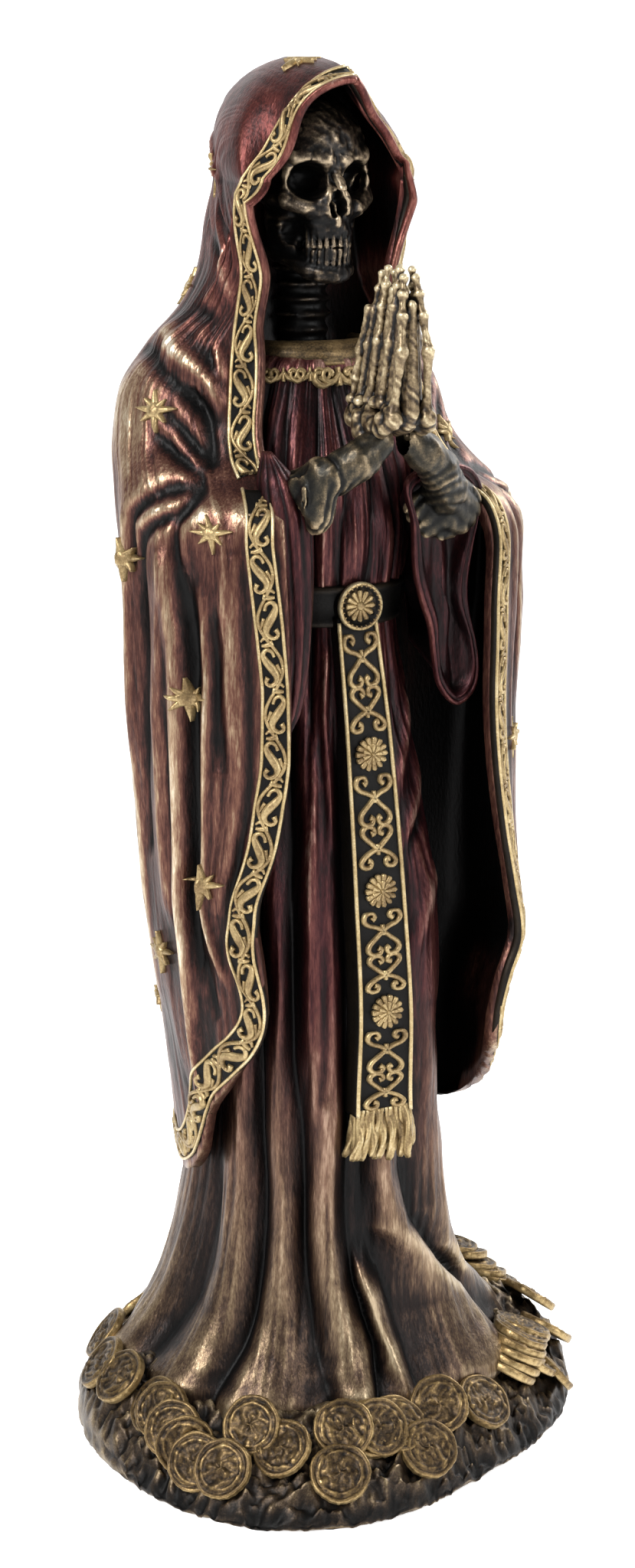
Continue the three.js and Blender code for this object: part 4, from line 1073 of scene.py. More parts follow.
def left_sleeve():
    """The left sleeve's hanging mouth: a rolled edge round soft upright folds."""
    loop = smooth_course(LEFT_LOOP, 200, closed=True)
    across = np.interp(loop[:, 2], [145, 158, 170, 184, 195], [21, 20.4, 17.6, 17, 16])
    middle = np.stack([across, loop[:, 1] + 0.4, 169 + (loop[:, 2] - 169) * 0.55], -1)
    away = loop - middle
    away[:, 1] = 0
    long = np.linalg.norm(away, axis=1)[:, None]

    def ring(inward, back):
        p = loop - away * np.minimum(inward / long, 0.97)
        waves = 0.75 * np.sin(p[:, 0] * 1.15 + 0.05 * p[:, 2]) + 0.5 * grain(p[:, 0] / 2.1, p[:, 2] / 14, 46)
        fold = step(inward, 1.4, 3.5) * waves
        return p + np.stack([0 * fold, back + fold, 0 * fold], -1)

    rows = [(10, 20), (5.6, 10), (0.9, 3), (-0.4, 1.4), (-0.3, 0.4), (0.2, -0.1), (0.6, 0.1)]
    rows += [(0.9, 0.55), (1.2, 0.2), (1.6, 0.2), (2.1, 0.8), (2.6, 1.7)]
    rows += [(x, 2.2 + 0.1 * x) for x in np.linspace(3.3, 16, 16)]
    return placed(loft([ring(inward, back) for inward, back in rows]))


# Height, middle aside and forward, half width and half depth.
right_sleeve_section = through(
    [
        [140, -18.9, -22.4, 0.7, 1.1],
        [143, -18.8, -22.6, 1.3, 2],
        [148, -18.4, -22.8, 3, 4],
        [160, -17.6, -22.2, 4, 6],
        [174, -17, -21.4, 4.4, 6.6],
        [186, -17.6, -21.6, 4.6, 6.4],
        [193, -18.8, -20.6, 3.6, 5],
        [199, -20, -18.6, 0.8, 1.4],
    ]
)


def right_sleeve():
    """The right sleeve hangs edge on between the mantle's front edge and the dress."""
    rings = []
    t = np.linspace(0, 2 * math.pi, 100, endpoint=False)
    for z in np.linspace(140.2, 199, 90):
        x, y, a, b = right_sleeve_section(z)
        fold = 0.5 * (folds(np.degrees(t) + 6 * math.sin(z / 9), np.arange(-60, 480, 36)) - 0.5)
        fold = fold * min(1, a / 3) + 0.12 * grain(np.degrees(t) / 8, np.full(100, z / 9), 45)
        rings.append(np.stack([x + (a + fold) * np.cos(t), y + (b + fold) * np.sin(t), np.full(100, z)], -1))
    return placed(loft(rings))


def note_vector(mesh, name, values):
    kept = mesh.attributes.new(name, "FLOAT_VECTOR", "POINT").data
    kept.foreach_set("vector", np.asarray(values, np.float32).ravel())


# Courses that trim follows: a line of places with the way out of the cloth and a share of the full width.
def course_piece(name, points, out, wide):
    mesh = bpy.data.meshes.new(name)
    line = [(i, i + 1) for i in range(len(points) - 1)]
    mesh.from_pydata([tuple(p * MM) for p in points], line, [])
    note_vector(mesh, "out", out)
    note(mesh, "wide", wide)
    piece = bpy.data.objects.new(name, mesh)
    bpy.context.scene.collection.objects.link(piece)
    return piece


def length_of(points):
    return float(np.linalg.norm(np.diff(points, axis=0), axis=1).sum())


def tree_socket(tree, name, kind, value=None, way="INPUT"):
    socket = tree.interface.new_socket(name=name, in_out=way, socket_type=kind)
    if value is not None:
        socket.default_value = value
    return socket


def border_tree():
    """Repeats a motif along a course: the motif's X runs along it, Y across the cloth and Z out of it."""
    tree = bpy.data.node_groups.new("Border Along Course", "GeometryNodeTree")
    tree_socket(tree, "Geometry", "NodeSocketGeometry")
    tree_socket(tree, "Course", "NodeSocketObject")
    tree_socket(tree, "Repeat Length", "NodeSocketFloat", 0.0185)
    tree_socket(tree, "Repeats", "NodeSocketInt", 4)
    tree_socket(tree, "Finish", "NodeSocketMaterial")
    tree_socket(tree, "Geometry", "NodeSocketGeometry", way="OUTPUT")
    new, link = tree.nodes.new, tree.links.new
    given, result = new("NodeGroupInput"), new("NodeGroupOutput")
    step_by = new("ShaderNodeCombineXYZ")
    link(given.outputs["Repeat Length"], step_by.inputs[0])
    line = new("GeometryNodeMeshLine")
    link(given.outputs["Repeats"], line.inputs["Count"])
    link(step_by.outputs[0], line.inputs["Offset"])
    set_out = new("GeometryNodeInstanceOnPoints")
    link(line.outputs[0], set_out.inputs["Points"])
    link(given.outputs["Geometry"], set_out.inputs["Instance"])
    made = new("GeometryNodeRealizeInstances")
    link(set_out.outputs[0], made.inputs[0])
    course = new("GeometryNodeObjectInfo")
    link(given.outputs["Course"], course.inputs["Object"])
    curve = new("GeometryNodeMeshToCurve")
    link(course.outputs["Geometry"], curve.inputs[0])
    place, split = new("GeometryNodeInputPosition"), new("ShaderNodeSeparateXYZ")
    link(place.outputs[0], split.inputs[0])
    samples = {}
    for name, kind in (("out", "FLOAT_VECTOR"), ("wide", "FLOAT")):
        read = new("GeometryNodeInputNamedAttribute")
        read.data_type = kind
        read.inputs["Name"].default_value = name
        sample = new("GeometryNodeSampleCurve")
        sample.mode, sample.data_type = "LENGTH", kind
        sample.use_all_curves = True
        link(curve.outputs[0], sample.inputs["Curves"])
        link(split.outputs["X"], sample.inputs["Length"])
        value = next(s for s in read.outputs if s.enabled)
        link(value, next(s for s in sample.inputs if s.name == "Value" and s.enabled))
        samples[name] = sample
    sample = samples["out"]
    out = next(s for s in sample.outputs if s.name == "Value" and s.enabled)
    across, square = new("ShaderNodeVectorMath"), new("ShaderNodeVectorMath")
    across.operation, square.operation = "CROSS_PRODUCT", "NORMALIZE"
    link(out, across.inputs[0])
    link(sample.outputs["Tangent"], across.inputs[1])
    link(across.outputs[0], square.inputs[0])
    width = new("ShaderNodeMath")
    width.operation = "MULTIPLY"
    link(split.outputs["Y"], width.inputs[0])
    link(next(s for s in samples["wide"].outputs if s.name == "Value" and s.enabled), width.inputs[1])
    place_now = sample.outputs["Position"]
    for vector, size in ((square.outputs[0], width.outputs[0]), (out, split.outputs["Z"])):
        scaled, added = new("ShaderNodeVectorMath"), new("ShaderNodeVectorMath")
        scaled.operation, added.operation = "SCALE", "ADD"
        link(vector, scaled.inputs[0])
        link(size, scaled.inputs["Scale"])
        link(place_now, added.inputs[0])
        link(scaled.outputs[0], added.inputs[1])
        place_now = added.outputs[0]
    move = new("GeometryNodeSetPosition")
    link(made.outputs[0], move.inputs["Geometry"])
    link(place_now, move.inputs["Position"])
    whole, finish = new("GeometryNodeRealizeInstances"), new("GeometryNodeSetMaterial")
    link(move.outputs[0], whole.inputs[0])
    link(whole.outputs[0], finish.inputs["Geometry"])
    link(given.outputs["Finish"], finish.inputs["Material"])
    link(finish.outputs[0], result.inputs[0])
    return tree


def set_out_tree():
    """Sets one shape on each of a course's points, turned and sized as the points say."""
    tree = bpy.data.node_groups.new("Set Out On Points", "GeometryNodeTree")
    tree_socket(tree, "Geometry", "NodeSocketGeometry")
    tree_socket(tree, "Places", "NodeSocketObject")
    tree_socket(tree, "Size", "NodeSocketFloat", 1.0)
    tree_socket(tree, "Finish", "NodeSocketMaterial")
    tree_socket(tree, "Geometry", "NodeSocketGeometry", way="OUTPUT")
    new, link = tree.nodes.new, tree.links.new
    given, result = new("NodeGroupInput"), new("NodeGroupOutput")
    places = new("GeometryNodeObjectInfo")
    link(given.outputs["Places"], places.inputs["Object"])
    turn, size = new("GeometryNodeInputNamedAttribute"), new("GeometryNodeInputNamedAttribute")
    turn.data_type, size.data_type = "FLOAT_VECTOR", "FLOAT"
    turn.inputs["Name"].default_value, size.inputs["Name"].default_value = "turn", "size"
    rotate, scale = new("FunctionNodeEulerToRotation"), new("ShaderNodeMath")
    scale.operation = "MULTIPLY"
    link(next(s for s in turn.outputs if s.enabled), rotate.inputs[0])
    link(next(s for s in size.outputs if s.enabled), scale.inputs[0])
    link(given.outputs["Size"], scale.inputs[1])
    set_out = new("GeometryNodeInstanceOnPoints")
    link(places.outputs["Geometry"], set_out.inputs["Points"])
    link(given.outputs["Geometry"], set_out.inputs["Instance"])
    link(rotate.outputs[0], set_out.inputs["Rotation"])
    link(scale.outputs[0], set_out.inputs["Scale"])
    whole, finish = new("GeometryNodeRealizeInstances"), new("GeometryNodeSetMaterial")
    link(set_out.outputs[0], whole.inputs[0])
    link(whole.outputs[0], finish.inputs["Geometry"])
    link(given.outputs["Finish"], finish.inputs["Material"])
    link(finish.outputs[0], result.inputs[0])
    return tree


BORDER, SET_OUT = border_tree(), set_out_tree()


def grown(tree, shape, values):
    """The plain mesh that a tree makes of a shape; values are by input name."""
    mesh = mesh_of("grown", shape)
    note(mesh, "worn", relief_of(shape, 3))
    note(mesh, "ridge", relief_of(shape, 8))
    host = bpy.data.objects.new("grown", mesh)
    bpy.context.scene.collection.objects.link(host)
    modifier = host.modifiers.new("Grown", "NODES")
    modifier.node_group = tree
    for item in tree.interface.items_tree:
        if item.item_type == "SOCKET" and item.in_out == "INPUT" and item.name in values:
            modifier[item.identifier] = values[item.name]
    bpy.context.view_layer.update()
    made = bpy.data.meshes.new_from_object(host.evaluated_get(bpy.context.evaluated_depsgraph_get()))
    host.modifiers.clear()
    bpy.data.objects.remove(host)
    return made


def border_run(motif, repeat, points, out, wide, finish):
    """A motif of one repeat, run along a course as often as it fits."""
    course = course_piece("course", points, out, wide)
    whole = length_of(points)
    repeats = max(1, round(whole / repeat))
    stretched = Shape(motif.points * np.array([whole / repeats / repeat, 1, 1]), motif.quads, motif.triangles)
    values = {"Course": course, "Repeat Length": whole / repeats * MM, "Repeats": repeats, "Finish": finish}
    made = grown(BORDER, stretched, values)
    bpy.data.objects.remove(course)
    return made


def set_out_run(shape, points, turns, sizes, finish):
    mesh = bpy.data.meshes.new("places")
    mesh.from_pydata([tuple(np.asarray(p) * MM) for p in points], [], [])
    note_vector(mesh, "turn", turns)
    note(mesh, "size", sizes)
    places = bpy.data.objects.new("places", mesh)
    bpy.context.scene.collection.objects.link(places)
    made = grown(SET_OUT, shape, {"Places": places, "Size": 1.0, "Finish": finish})
    bpy.data.objects.remove(places)
    return made


def one_mesh(name, meshes):
    """Several meshes as one, with their notes kept."""
    hosts = []
    for mesh in meshes:
        host = bpy.data.objects.new("part", mesh)
        bpy.context.scene.collection.objects.link(host)
        hosts.append(host)
    for host in hosts:
        host.select_set(True)
    bpy.context.view_layer.objects.active = hosts[0]
    if len(hosts) > 1:
        bpy.ops.object.join()
    mesh = hosts[0].data
    mesh.name = name
    bpy.data.objects.remove(hosts[0])
    return mesh


# Motifs, drawn flat in millimetres: X runs along the trim, Y across it.
def scroll_motif():
    """One full swing of the running scroll: a waving stem with a leaf like an S in each bay."""
    half = 9.25
    stem = [(x, 2.15 * math.cos(math.pi * x / half)) for x in np.linspace(0, 2 * half, 13)]
    parts = [stroke(stem, [0.42, 0.42], 0.6, 44)]
    for at, side in ((half, 1), (2 * half, -1)):

        def leaf(points, widths, high, count):
            return stroke([(at + x, side * (1.22 * y - 0.15)) for x, y in points], widths, high, count)

        leaf_s = [(-2.1, -0.3), (-3.2, 0.1), (-3.6, 1), (-2.7, 1.65), (-1.3, 1.2), (0.2, 0.3), (1.7, -0.4)]
        leaf_s += [(3, -0.1), (3.5, 0.9), (2.8, 1.6), (1.8, 1.2)]
        parts += [
            leaf(leaf_s, [0.42, 0.42, 0.46, 0.6, 0.86, 0.98, 0.84, 0.56, 0.46, 0.46, 0.6], 0.72, 26),
            leaf([(-4.9, -0.3), (-4.5, 0.8), (-4.5, 1.7)], [0.7, 0.55, 0.34], 0.6, 7),
            leaf([(-5.7, 0.4), (-5.9, 1.2), (-5.3, 1.8)], [0.5, 0.42, 0.26], 0.55, 7),
            leaf([(-0.6, -0.6), (0.5, -1), (1.4, -1.3)], [0.42, 0.4, 0.22], 0.5, 6),
        ]
    return joined(parts)


# The curls on one side of the heart motif, and how wide each is along its course.
HEART_CURLS = (
    ((4.3, 0), (3.5, 1.3), (2.9, 2.7), (1.8, 3.6), (0.5, 3.2), (0.3, 2), (1.2, 1.5), (1.8, 2.1)),
    ((4.3, 0), (5.6, 1.2), (7.1, 2.7), (8.4, 3), (9.3, 2.2), (9.3, 1), (8.4, 0.5), (7.9, 1.1)),
    ((14, 0), (12.6, 1.5), (11.2, 2.8), (10.2, 2.8), (9.6, 1.9), (9.9, 0.8), (10.8, 0.5), (11.1, 1.2)),
    ((13.9, 0), (14.4, 1.3), (15.2, 2.6), (16.4, 3.5), (17.3, 2.8), (17.1, 1.7), (16.2, 1.5), (15.9, 2.2)),
)
CURL_WIDTHS = (0.5, 0.5, 0.52, 0.54, 0.5, 0.5, 0.66)


def heart_motif():
    """Between two rosettes: a pair of curls, a heart upside down, a heart and another pair of curls."""
    parts = []
    for side in (1, -1):
        for curl in HEART_CURLS:
            line = [(x, 1.08 * side * y) for x, y in curl]
            parts.append(stroke(line, CURL_WIDTHS, 0.75, 22))
    parts.append(stroke([(3, 0), (5.2, 0)], [0.45, 0.62], 0.75, 5))
    parts.append(stroke([(13, 0), (15, 0)], [0.62, 0.45], 0.75, 5))
    return joined(parts)


def daisy(petals, radius, high, heart):
    """A flower of petals round a raised heart, flat on the level plane."""
    parts = []
    for k in range(petals):
        t = 2 * math.pi * k / petals
        c, s = math.cos(t), math.sin(t)
        wide = math.pi * radius / petals * 0.8
        line = [(r * c, r * s) for r in (heart * 0.7, radius * 0.55, radius * 0.9, radius)]
        parts.append(stroke(line, [wide * 0.45, wide * 0.8, wide, wide * 0.4], high, 8))
    rings = []
    for r, z in ((heart, -0.4), (heart, high), (heart * 0.75, high * 1.5), (heart * 0.3, high * 1.7)):
        t = np.linspace(0, 2 * math.pi, 16, endpoint=False)
        rings.append(np.stack([r * np.cos(t), r * np.sin(t), np.full(16, z)], -1))
    return joined([*parts, loft(rings)])


def star(points, radius, high):
    """A star of tapering rays round a raised middle."""
    parts = []
    rng = np.random.default_rng(5)
    widths = [radius * w for w in (0.25, 0.17, 0.1, 0.03)]
    for k in range(points):
        t = 2 * math.pi * k / points + rng.uniform(-0.12, 0.12)
        long = radius * (1 if k % 2 == 0 else 0.8) * rng.uniform(0.88, 1.06)
        line = [(r * math.cos(t), r * math.sin(t)) for r in (0, long * 0.4, long * 0.75, long)]
        parts.append(stroke(line, widths, high, 9, sink=0.9))
    rings = []
    t = np.linspace(0, 2 * math.pi, 14, endpoint=False)
    for r, z in ((0.36, -0.9), (0.36, high * 0.9), (0.26, high * 1.3), (0.1, high * 1.45)):
        swell = r * radius * (1 + 0.15 * np.sin(5 * t))
        rings.append(np.stack([swell * np.cos(t), swell * np.sin(t), np.full(14, z)], -1))
    return joined([*parts, loft(rings)])


# Borders on the mantle's edges: the outer edge and the mantle's own edge as share and height, and the
# border's width, which may run on past the mantle's edge.
HOOD_BORDER = (
    ((0.0, 349.6), (0.0, 352.6), 4.2),
    ((0.127, 350.3), (0.11, 352.6), 4.2),
    ((0.233, 351.6), (0.225, 352.6), 4.3),
    ((0.322, 351.4), (0.312, 352.6), 4.3),
    ((0.412, 351.2), (0.4, 352.6), 4.2),
    ((0.5, 349.6), (0.478, 352.6), 4.1),
    ((0.603, 344.8), (0.56, 352.6), 4.1),
    ((0.69, 341.3), (0.637, 352.6), 4.2),
    ((0.772, 339.1), (0.732, 352.6), 4.3),
    ((0.867, 334.1), (0.818, 352.6), 4.4),
    ((0.973, 305.8), (0.903, 352.6), 4.2),
    ((0.918, 248), (1.0, 247), 4.1),
    ((0.863, 245), (1.0, 244.2), 3.6),
    ((0.88, 241.8), (1.0, 241), 3.4),
    ((0.875, 238.2), (1.0, 238.2), 3.4),
    ((0.87, 235.2), (0.982, 235.2), 3.7),
    ((0.877, 232.2), (0.987, 232.2), 4.2),
    ((0.893, 228.2), (0.987, 228.2), 4.2),
    ((0.907, 224.8), (0.982, 224.8), 4),
    ((0.935, 221.2), (0.998, 221.6), 4.2),
    ((0.952, 217.8), (1.0, 218), 4.9),
    ((0.955, 214), (1.0, 213.8), 5.3),
    ((0.953, 209.5), (1.0, 209.2), 5.3),
    ((0.945, 204.8), (1.0, 204.5), 5.1),
    ((0.937, 200.8), (0.992, 200.8), 5.2),
    ((0.933, 196.5), (0.988, 197), 5.3),
    ((0.938, 193.5), (0.987, 195.2), 4.9),
)
RIGHT_FRONT_BORDER = (
    ((0.94, 191.8), (0.99, 191.5), 5.3),
    ((0.927, 182), (0.98, 182), 5.4),
    ((0.933, 168.8), (0.988, 168.8), 5.6),
    ((0.945, 154), (0.995, 154), 5.2),
    ((0.942, 138.8), (1.0, 139), 5.7),
    ((0.932, 131.2), (1.0, 131.2), 5.9),
    ((0.933, 122.8), (1.0, 123.1), 5.8),
    ((0.922, 114.9), (1.0, 115.5), 5.9),
    ((0.902, 106.8), (1.0, 107.4), 6),
    ((0.882, 103), (0.993, 103.5), 6.2),
    ((0.882, 99.1), (0.987, 99.7), 6),
    ((0.905, 95.4), (0.99, 95.8), 5.1),
    ((0.92, 92.2), (1.0, 92.7), 4.7),
    ((0.92, 89), (1.0, 88.9), 4.9),
    ((0.893, 85.5), (0.985, 84), 6),
    ((0.858, 82.6), (0.95, 79.2), 6.6),
    ((0.805, 79.7), (0.895, 75), 6.8),
    ((0.75, 76.4), (0.835, 71.3), 6.8),
    ((0.712, 73.7), (0.79, 68.6), 6.6),
    ((0.68, 70.2), (0.755, 65.6), 6.4),
    ((0.648, 66.6), (0.725, 62.6), 6.2),
    ((0.617, 62.5), (0.69, 57.8), 6.3),
    ((0.58, 58.5), (0.64, 52.6), 6.6),
    ((0.53, 56), (0.555, 49.3), 6.6),
    ((0.46, 54.6), (0.46, 48.3), 6.3),
    ((0.3, 57.3), (0.3, 51), 6.4),
    ((0.0, 60.4), (0.0, 54.1), 6.4),
)
LEFT_FRONT_BORDER = (
    ((0.96, 192), (0.997, 192), 3.6),
    ((0.953, 183), (0.997, 183), 4),
    ((0.951, 168), (0.997, 168), 4.2),
    ((0.954, 139), (0.997, 139), 4),
    ((0.947, 124), (0.997, 124), 4.2),
    ((0.955, 111), (0.997, 111), 4),
    ((0.93, 98.7), (0.995, 98.7), 4.8),
    ((0.9, 88), (0.985, 86.5), 5.4),
    ((0.87, 79), (0.93, 74.2), 5.6),
    ((0.81, 75.5), (0.86, 70.2), 6),
    ((0.72, 70.8), (0.76, 65), 6.2),
    ((0.63, 66), (0.66, 60), 6.2),
    ((0.5, 61.3), (0.52, 55), 6.3),
    ((0.3, 59.4), (0.3, 53), 6.4),
    ((0.0, 60.4), (0.0, 54.1), 6.4),
)


def evened(points, passes):
    """A course with its small kinks rubbed out; both ends stay."""
    for _ in range(passes):
        points[1:-1] = (points[:-2] + points[1:-1] * 2 + points[2:]) / 4
    return points


class Border:
    """A border on one side's edge, -1 right and 1 left, followed from the top down."""

    def __init__(self, rows, side, bridged=False, count=240):
        table = np.array([[*outer, *rim, width] for outer, rim, width in rows], float)
        table[:, [0, 2]] *= side
        start, end = mantle_place(table[:, 0], table[:, 1]), mantle_place(table[:, 2], table[:, 3])
        way = (end - start) / np.linalg.norm(end - start, axis=1)[:, None]
        fine = along(np.column_stack([start, table, way]), count)
        self.outer, self.rim, self.width = fine[:, 3:5], fine[:, 5:7], evened(fine[:, 7], 6)
        self.start, self.toward = evened(fine[:, :3], 4 if side < 0 else 30), evened(fine[:, 8:], 12)
        if not bridged:
            self.start, end = mantle_place(*self.outer.T), mantle_place(*self.rim.T)
            self.toward = evened(end - self.start, 8)
        self.span = np.linalg.norm(mantle_place(*self.rim.T) - self.start, axis=1)
        self.bridged = bridged
        self.toward /= np.linalg.norm(self.toward, axis=1)[:, None]
        self.out = evened(np.cross(np.gradient(evened(self.start.copy(), 4), axis=0), self.toward), 8)
        self.out /= np.linalg.norm(self.out, axis=1)[:, None]
        away = mantle_place(*self.outer.T, 1.0) - mantle_place(*self.outer.T)
        self.out *= np.sign((self.out * away).sum())

    def place(self, across, lift=0.0, past=0.0):
        """A course along the border: across from 0 at its outer edge to 1, then past that edge."""
        reach = across * self.width + past
        if self.bridged:
            at = self.start + self.toward * reach[:, None] + self.out * (lift + 0.15)
        else:
            f = np.clip(reach / self.span, 0, 1)
            share, up = (mix(self.outer[:, k], self.rim[:, k], f) for k in (0, 1))
            on = mantle_place(share, up) + self.toward * np.maximum(reach - self.span, 0)[:, None]
            at = evened(on, 5) + self.out * lift
        at[:, 2] = np.minimum(at[:, 2], CAD_TOP - FOOT_LEVEL - 0.8 + min(lift, 0.1))
        return at


def border_band(border):
    """The border's sunk ground."""
    across = [(-0.03, -1.2), (-0.03, 0.1), (0.0, 0.3)]
    across += [(t, 0.14) for t in (0.1, 0.3, 0.5, 0.7, 0.9)]
    across += [(1.0, 0.3), (1.03, 0.1), (1.03, -1.2)]
    rings = [border.place(t, lift) for t, lift in across]
    rings += [border.place(t, -1.5) for t in (0.8, 0.5, 0.2)]
    return loft(np.stack(rings, 1))


def round_line(border, middle, wide, high, count):
    """A rounded line along a border, given its half width, half height and points to a ring."""
    t = np.linspace(0, 2 * math.pi, count, endpoint=False)[None, :, None]
    ring = wide * np.cos(t) * border.toward[:, None] + high * np.sin(t) * border.out[:, None]
    return loft(middle[:, None] + ring)


def border_lines(border):
    """The fine raised lines along both edges of the border."""
    return joined([round_line(border, border.place(t, 0.3), 0.36, 0.38, 6) for t in (0.03, 0.97)])


def border_parts(border, finish):
    wide = np.clip(border.width / 5.9, 0.6, 1.2)
    return border_run(scroll_motif(), 18.5, border.place(0.5, 0.14) + FIGURE_PLACE, border.out, wide, finish)


def border_edge(border):
    """The rolled edge of the hood, along the border's inner side."""
    return round_line(border, border.place(1.0, -0.35, 0.75), 0.95, 0.85, 12)


# Stars on the mantle, as share and height with a size.
STARS = (
    (-0.66, 257, 0.72),
    (-0.432, 229, 0.95),
    (-0.757, 206, 1),
    (-0.599, 177, 1),
    (-0.862, 184, 0.9),
    (-0.778, 151, 1),
    (-0.819, 114, 1.05),
    (-0.602, 97, 1),
    (-0.2, 262, 1),
    (-0.15, 325, 1),
    (-0.16, 205, 1),
    (-0.31, 150, 1),
    (-0.12, 108, 1),
    (-0.36, 82, 0.95),
    (0.825, 199, 0.9),
    (0.856, 137.5, 1),
    (0.55, 240, 1),
    (0.3, 222, 1),
    (0.6, 165, 1),
    (0.28, 176, 1),
    (0.5, 112, 1),
    (0.2, 126, 1),
    (0.76, 96, 1),
    (0.24, 82, 0.95),
)


def mantle_stars():
    """Stars bent to the cloth they lie on."""
    flat = star(8, 4.4, 0.75)
    made = []
    for share, up, size in STARS:
        across = np.linalg.norm(mantle_form(share + 0.01, up) - mantle_form(share - 0.01, up)) / 0.02
        rise = [np.linalg.norm(mantle_form(share, up + d) - mantle_form(share, up)) / 3 for d in (-3, 3)]
        p = flat.points * size
        there = share + p[:, 0] / across, up + p[:, 1] / np.where(p[:, 1] < 0, *rise)
        lie = 0.85 * mantle_relief(*there) + 0.15 * mantle_relief(share, up) + 0.05
        at = mantle_form(*there, -lie - p[:, 2] * 1.25)
        at[:, 2] = np.minimum(at[:, 2], CAD_TOP - FOOT_LEVEL - 0.02)
        made.append(Shape(at, flat.quads, flat.triangles))
    return placed(joined([outward(s) for s in made]))


def upright(shape, x, y, z):
    """Turns a flat shape to face the front at a place."""
    p = shape.points
    shape.points = np.stack([x + p[:, 0], y - p[:, 2], z + p[:, 1]], -1)
    return outward(shape)


def disc(rows, count=72):
    t = np.linspace(0, 2 * math.pi, count, endpoint=False)
    return loft([np.stack([r * np.cos(t), r * np.sin(t), np.full(count, z)], -1) for r, z in rows])


# Buckle: its middle, and its plate and rim as shares of its radius with heights.
BUCKLE_PLACE = (-0.6, -20.4, 167.3)
BUCKLE_PLATE = ((0.9, -5), (1, -1.4), (1.02, 0.2), (1, 0.85), (0.9, 1.05), (0.8, 0.75), (0.76, 0))
BUCKLE_RIM = ((0.84, 0.3), (0.86, 0.95), (0.93, 1.25), (1.03, 0.95), (1.05, 0.1))


def buckle():
    half = BUCKLE_DIAMETER / 2
    plate = disc([*((half * share, z) for share, z in BUCKLE_PLATE), (0.6, 0)])
    rim = disc([(half * share, z) for share, z in BUCKLE_RIM])
    flower = daisy(12, half * 0.68, 0.75, half * 0.2)
    beads = []
    for k in range(24):
        t = 2 * math.pi * k / 24
        ends = [(half * share * math.cos(t), half * share * math.sin(t)) for share in (0.84, 0.97)]
        beads.append(stroke(ends, [0.22, 0.22], 1.3, 4))
    raised = joined([flower, rim, *beads])
    return placed(upright(plate, *BUCKLE_PLACE)), placed(upright(raised, *BUCKLE_PLACE))


def sash_trim():
    """Rosettes on the sash and the heart scrolls between them."""
    flowers = []
    for height in (137.6, 110, 85):
        at = sash_place(np.array(0.0), height)
        flower = joined([daisy(14, 3.5, 0.5, 0.6), daisy(9, 2.2, 0.85, 0.5)])
        flowers.append(upright(flower, at[0], at[1] - 0.1, height))
    flower_shape = placed(joined(flowers))
    runs = []
    unit = 17.7
    for high, low in ((161.8, 141.8), (133.4, 114.4), (105.9, 89), (81, 64.6)):
        heights = np.linspace(high, low, 26)
        points = np.array([sash_place(np.array(0.0), h, -0.3) for h in heights])
        out = np.tile([0.0, -1.0, 0.08], (26, 1))
        out /= np.linalg.norm(out, axis=1)[:, None]
        wide = np.interp(heights, [60, 165], [1.16, 0.92])
        runs.append((heart_motif(), unit, points + FIGURE_PLACE, out, wide))
    return flower_shape, runs


def strand():
    """One waving strand of the fringe, hanging from its top."""
    rings = []
    t = np.linspace(0, 2 * math.pi, 9, endpoint=False)
    for f in np.linspace(0, 1, 15):
        r = 0.8 * (0.85 + 0.3 * math.sin(math.pi * f)) * (1 if f < 0.93 else 0.6)
        twist = 0.2 * np.sin(3 * t + 11 * f)
        x = (r + twist) * np.cos(t) + 0.7 * math.sin(4.6 * f) * f
        y = (r + twist) * np.sin(t) + 0.3 * math.sin(7 * f)
        rings.append(np.stack([x, y, np.full(9, -11 * f)], -1))
    return loft(rings)


def fringe(finish):
    rng = np.random.default_rng(17)
    points, turns, sizes = [], [], []
    middle, width, face = sash_section(SASH_FOOT)
    for layer, count in ((0, 12), (1, 12), (2, 12)):
        for k in range(count):
            f = (k + 0.5) / count * 2 - 1
            x = middle + f * width / 2 * 0.93
            y = -face + 0.5 * f * f + 0.75 + layer * 0.95
            points.append((x + FIGURE_ASIDE, y + FIGURE_SETBACK, SASH_FOOT + 1.2 + FOOT_LEVEL))
            sway = math.radians(12 * f + rng.uniform(-7, 7) + 1.5)
            lift = math.radians(-6 + 3.4 * layer + rng.uniform(-3, 3))
            turns.append((lift, -sway, rng.uniform(-1.2, 1.2)))
            sizes.append(rng.uniform(0.88, 1.04))
    return set_out_run(strand(), points, turns, sizes, finish)


# The curls on one side of a leaf of the necklace, as course, widths and rings, and where each leaf hangs,
# as bearing and size.
LEAF_CURLS = (
    (
        ((0, -0.3), (1.2, -1.6), (2.7, -1.5), (3.1, -0.3), (2.2, 0.5), (1.3, -0.1), (1.7, -0.7)),
        (0.4, 0.5, 0.45, 0.4, 0.36, 0.4),
        20,
    ),
    (((1.5, -1.7), (3.2, -2.3), (4.6, -1.4), (4.5, -0.2), (3.7, 0)), (0.3, 0.45, 0.4, 0.3, 0.36), 14),
)
LEAVES = ((-58, 0.75), (-39, 0.85), (-20, 0.85), (0, 1.15), (20, 0.85), (39, 0.85), (58, 0.75))


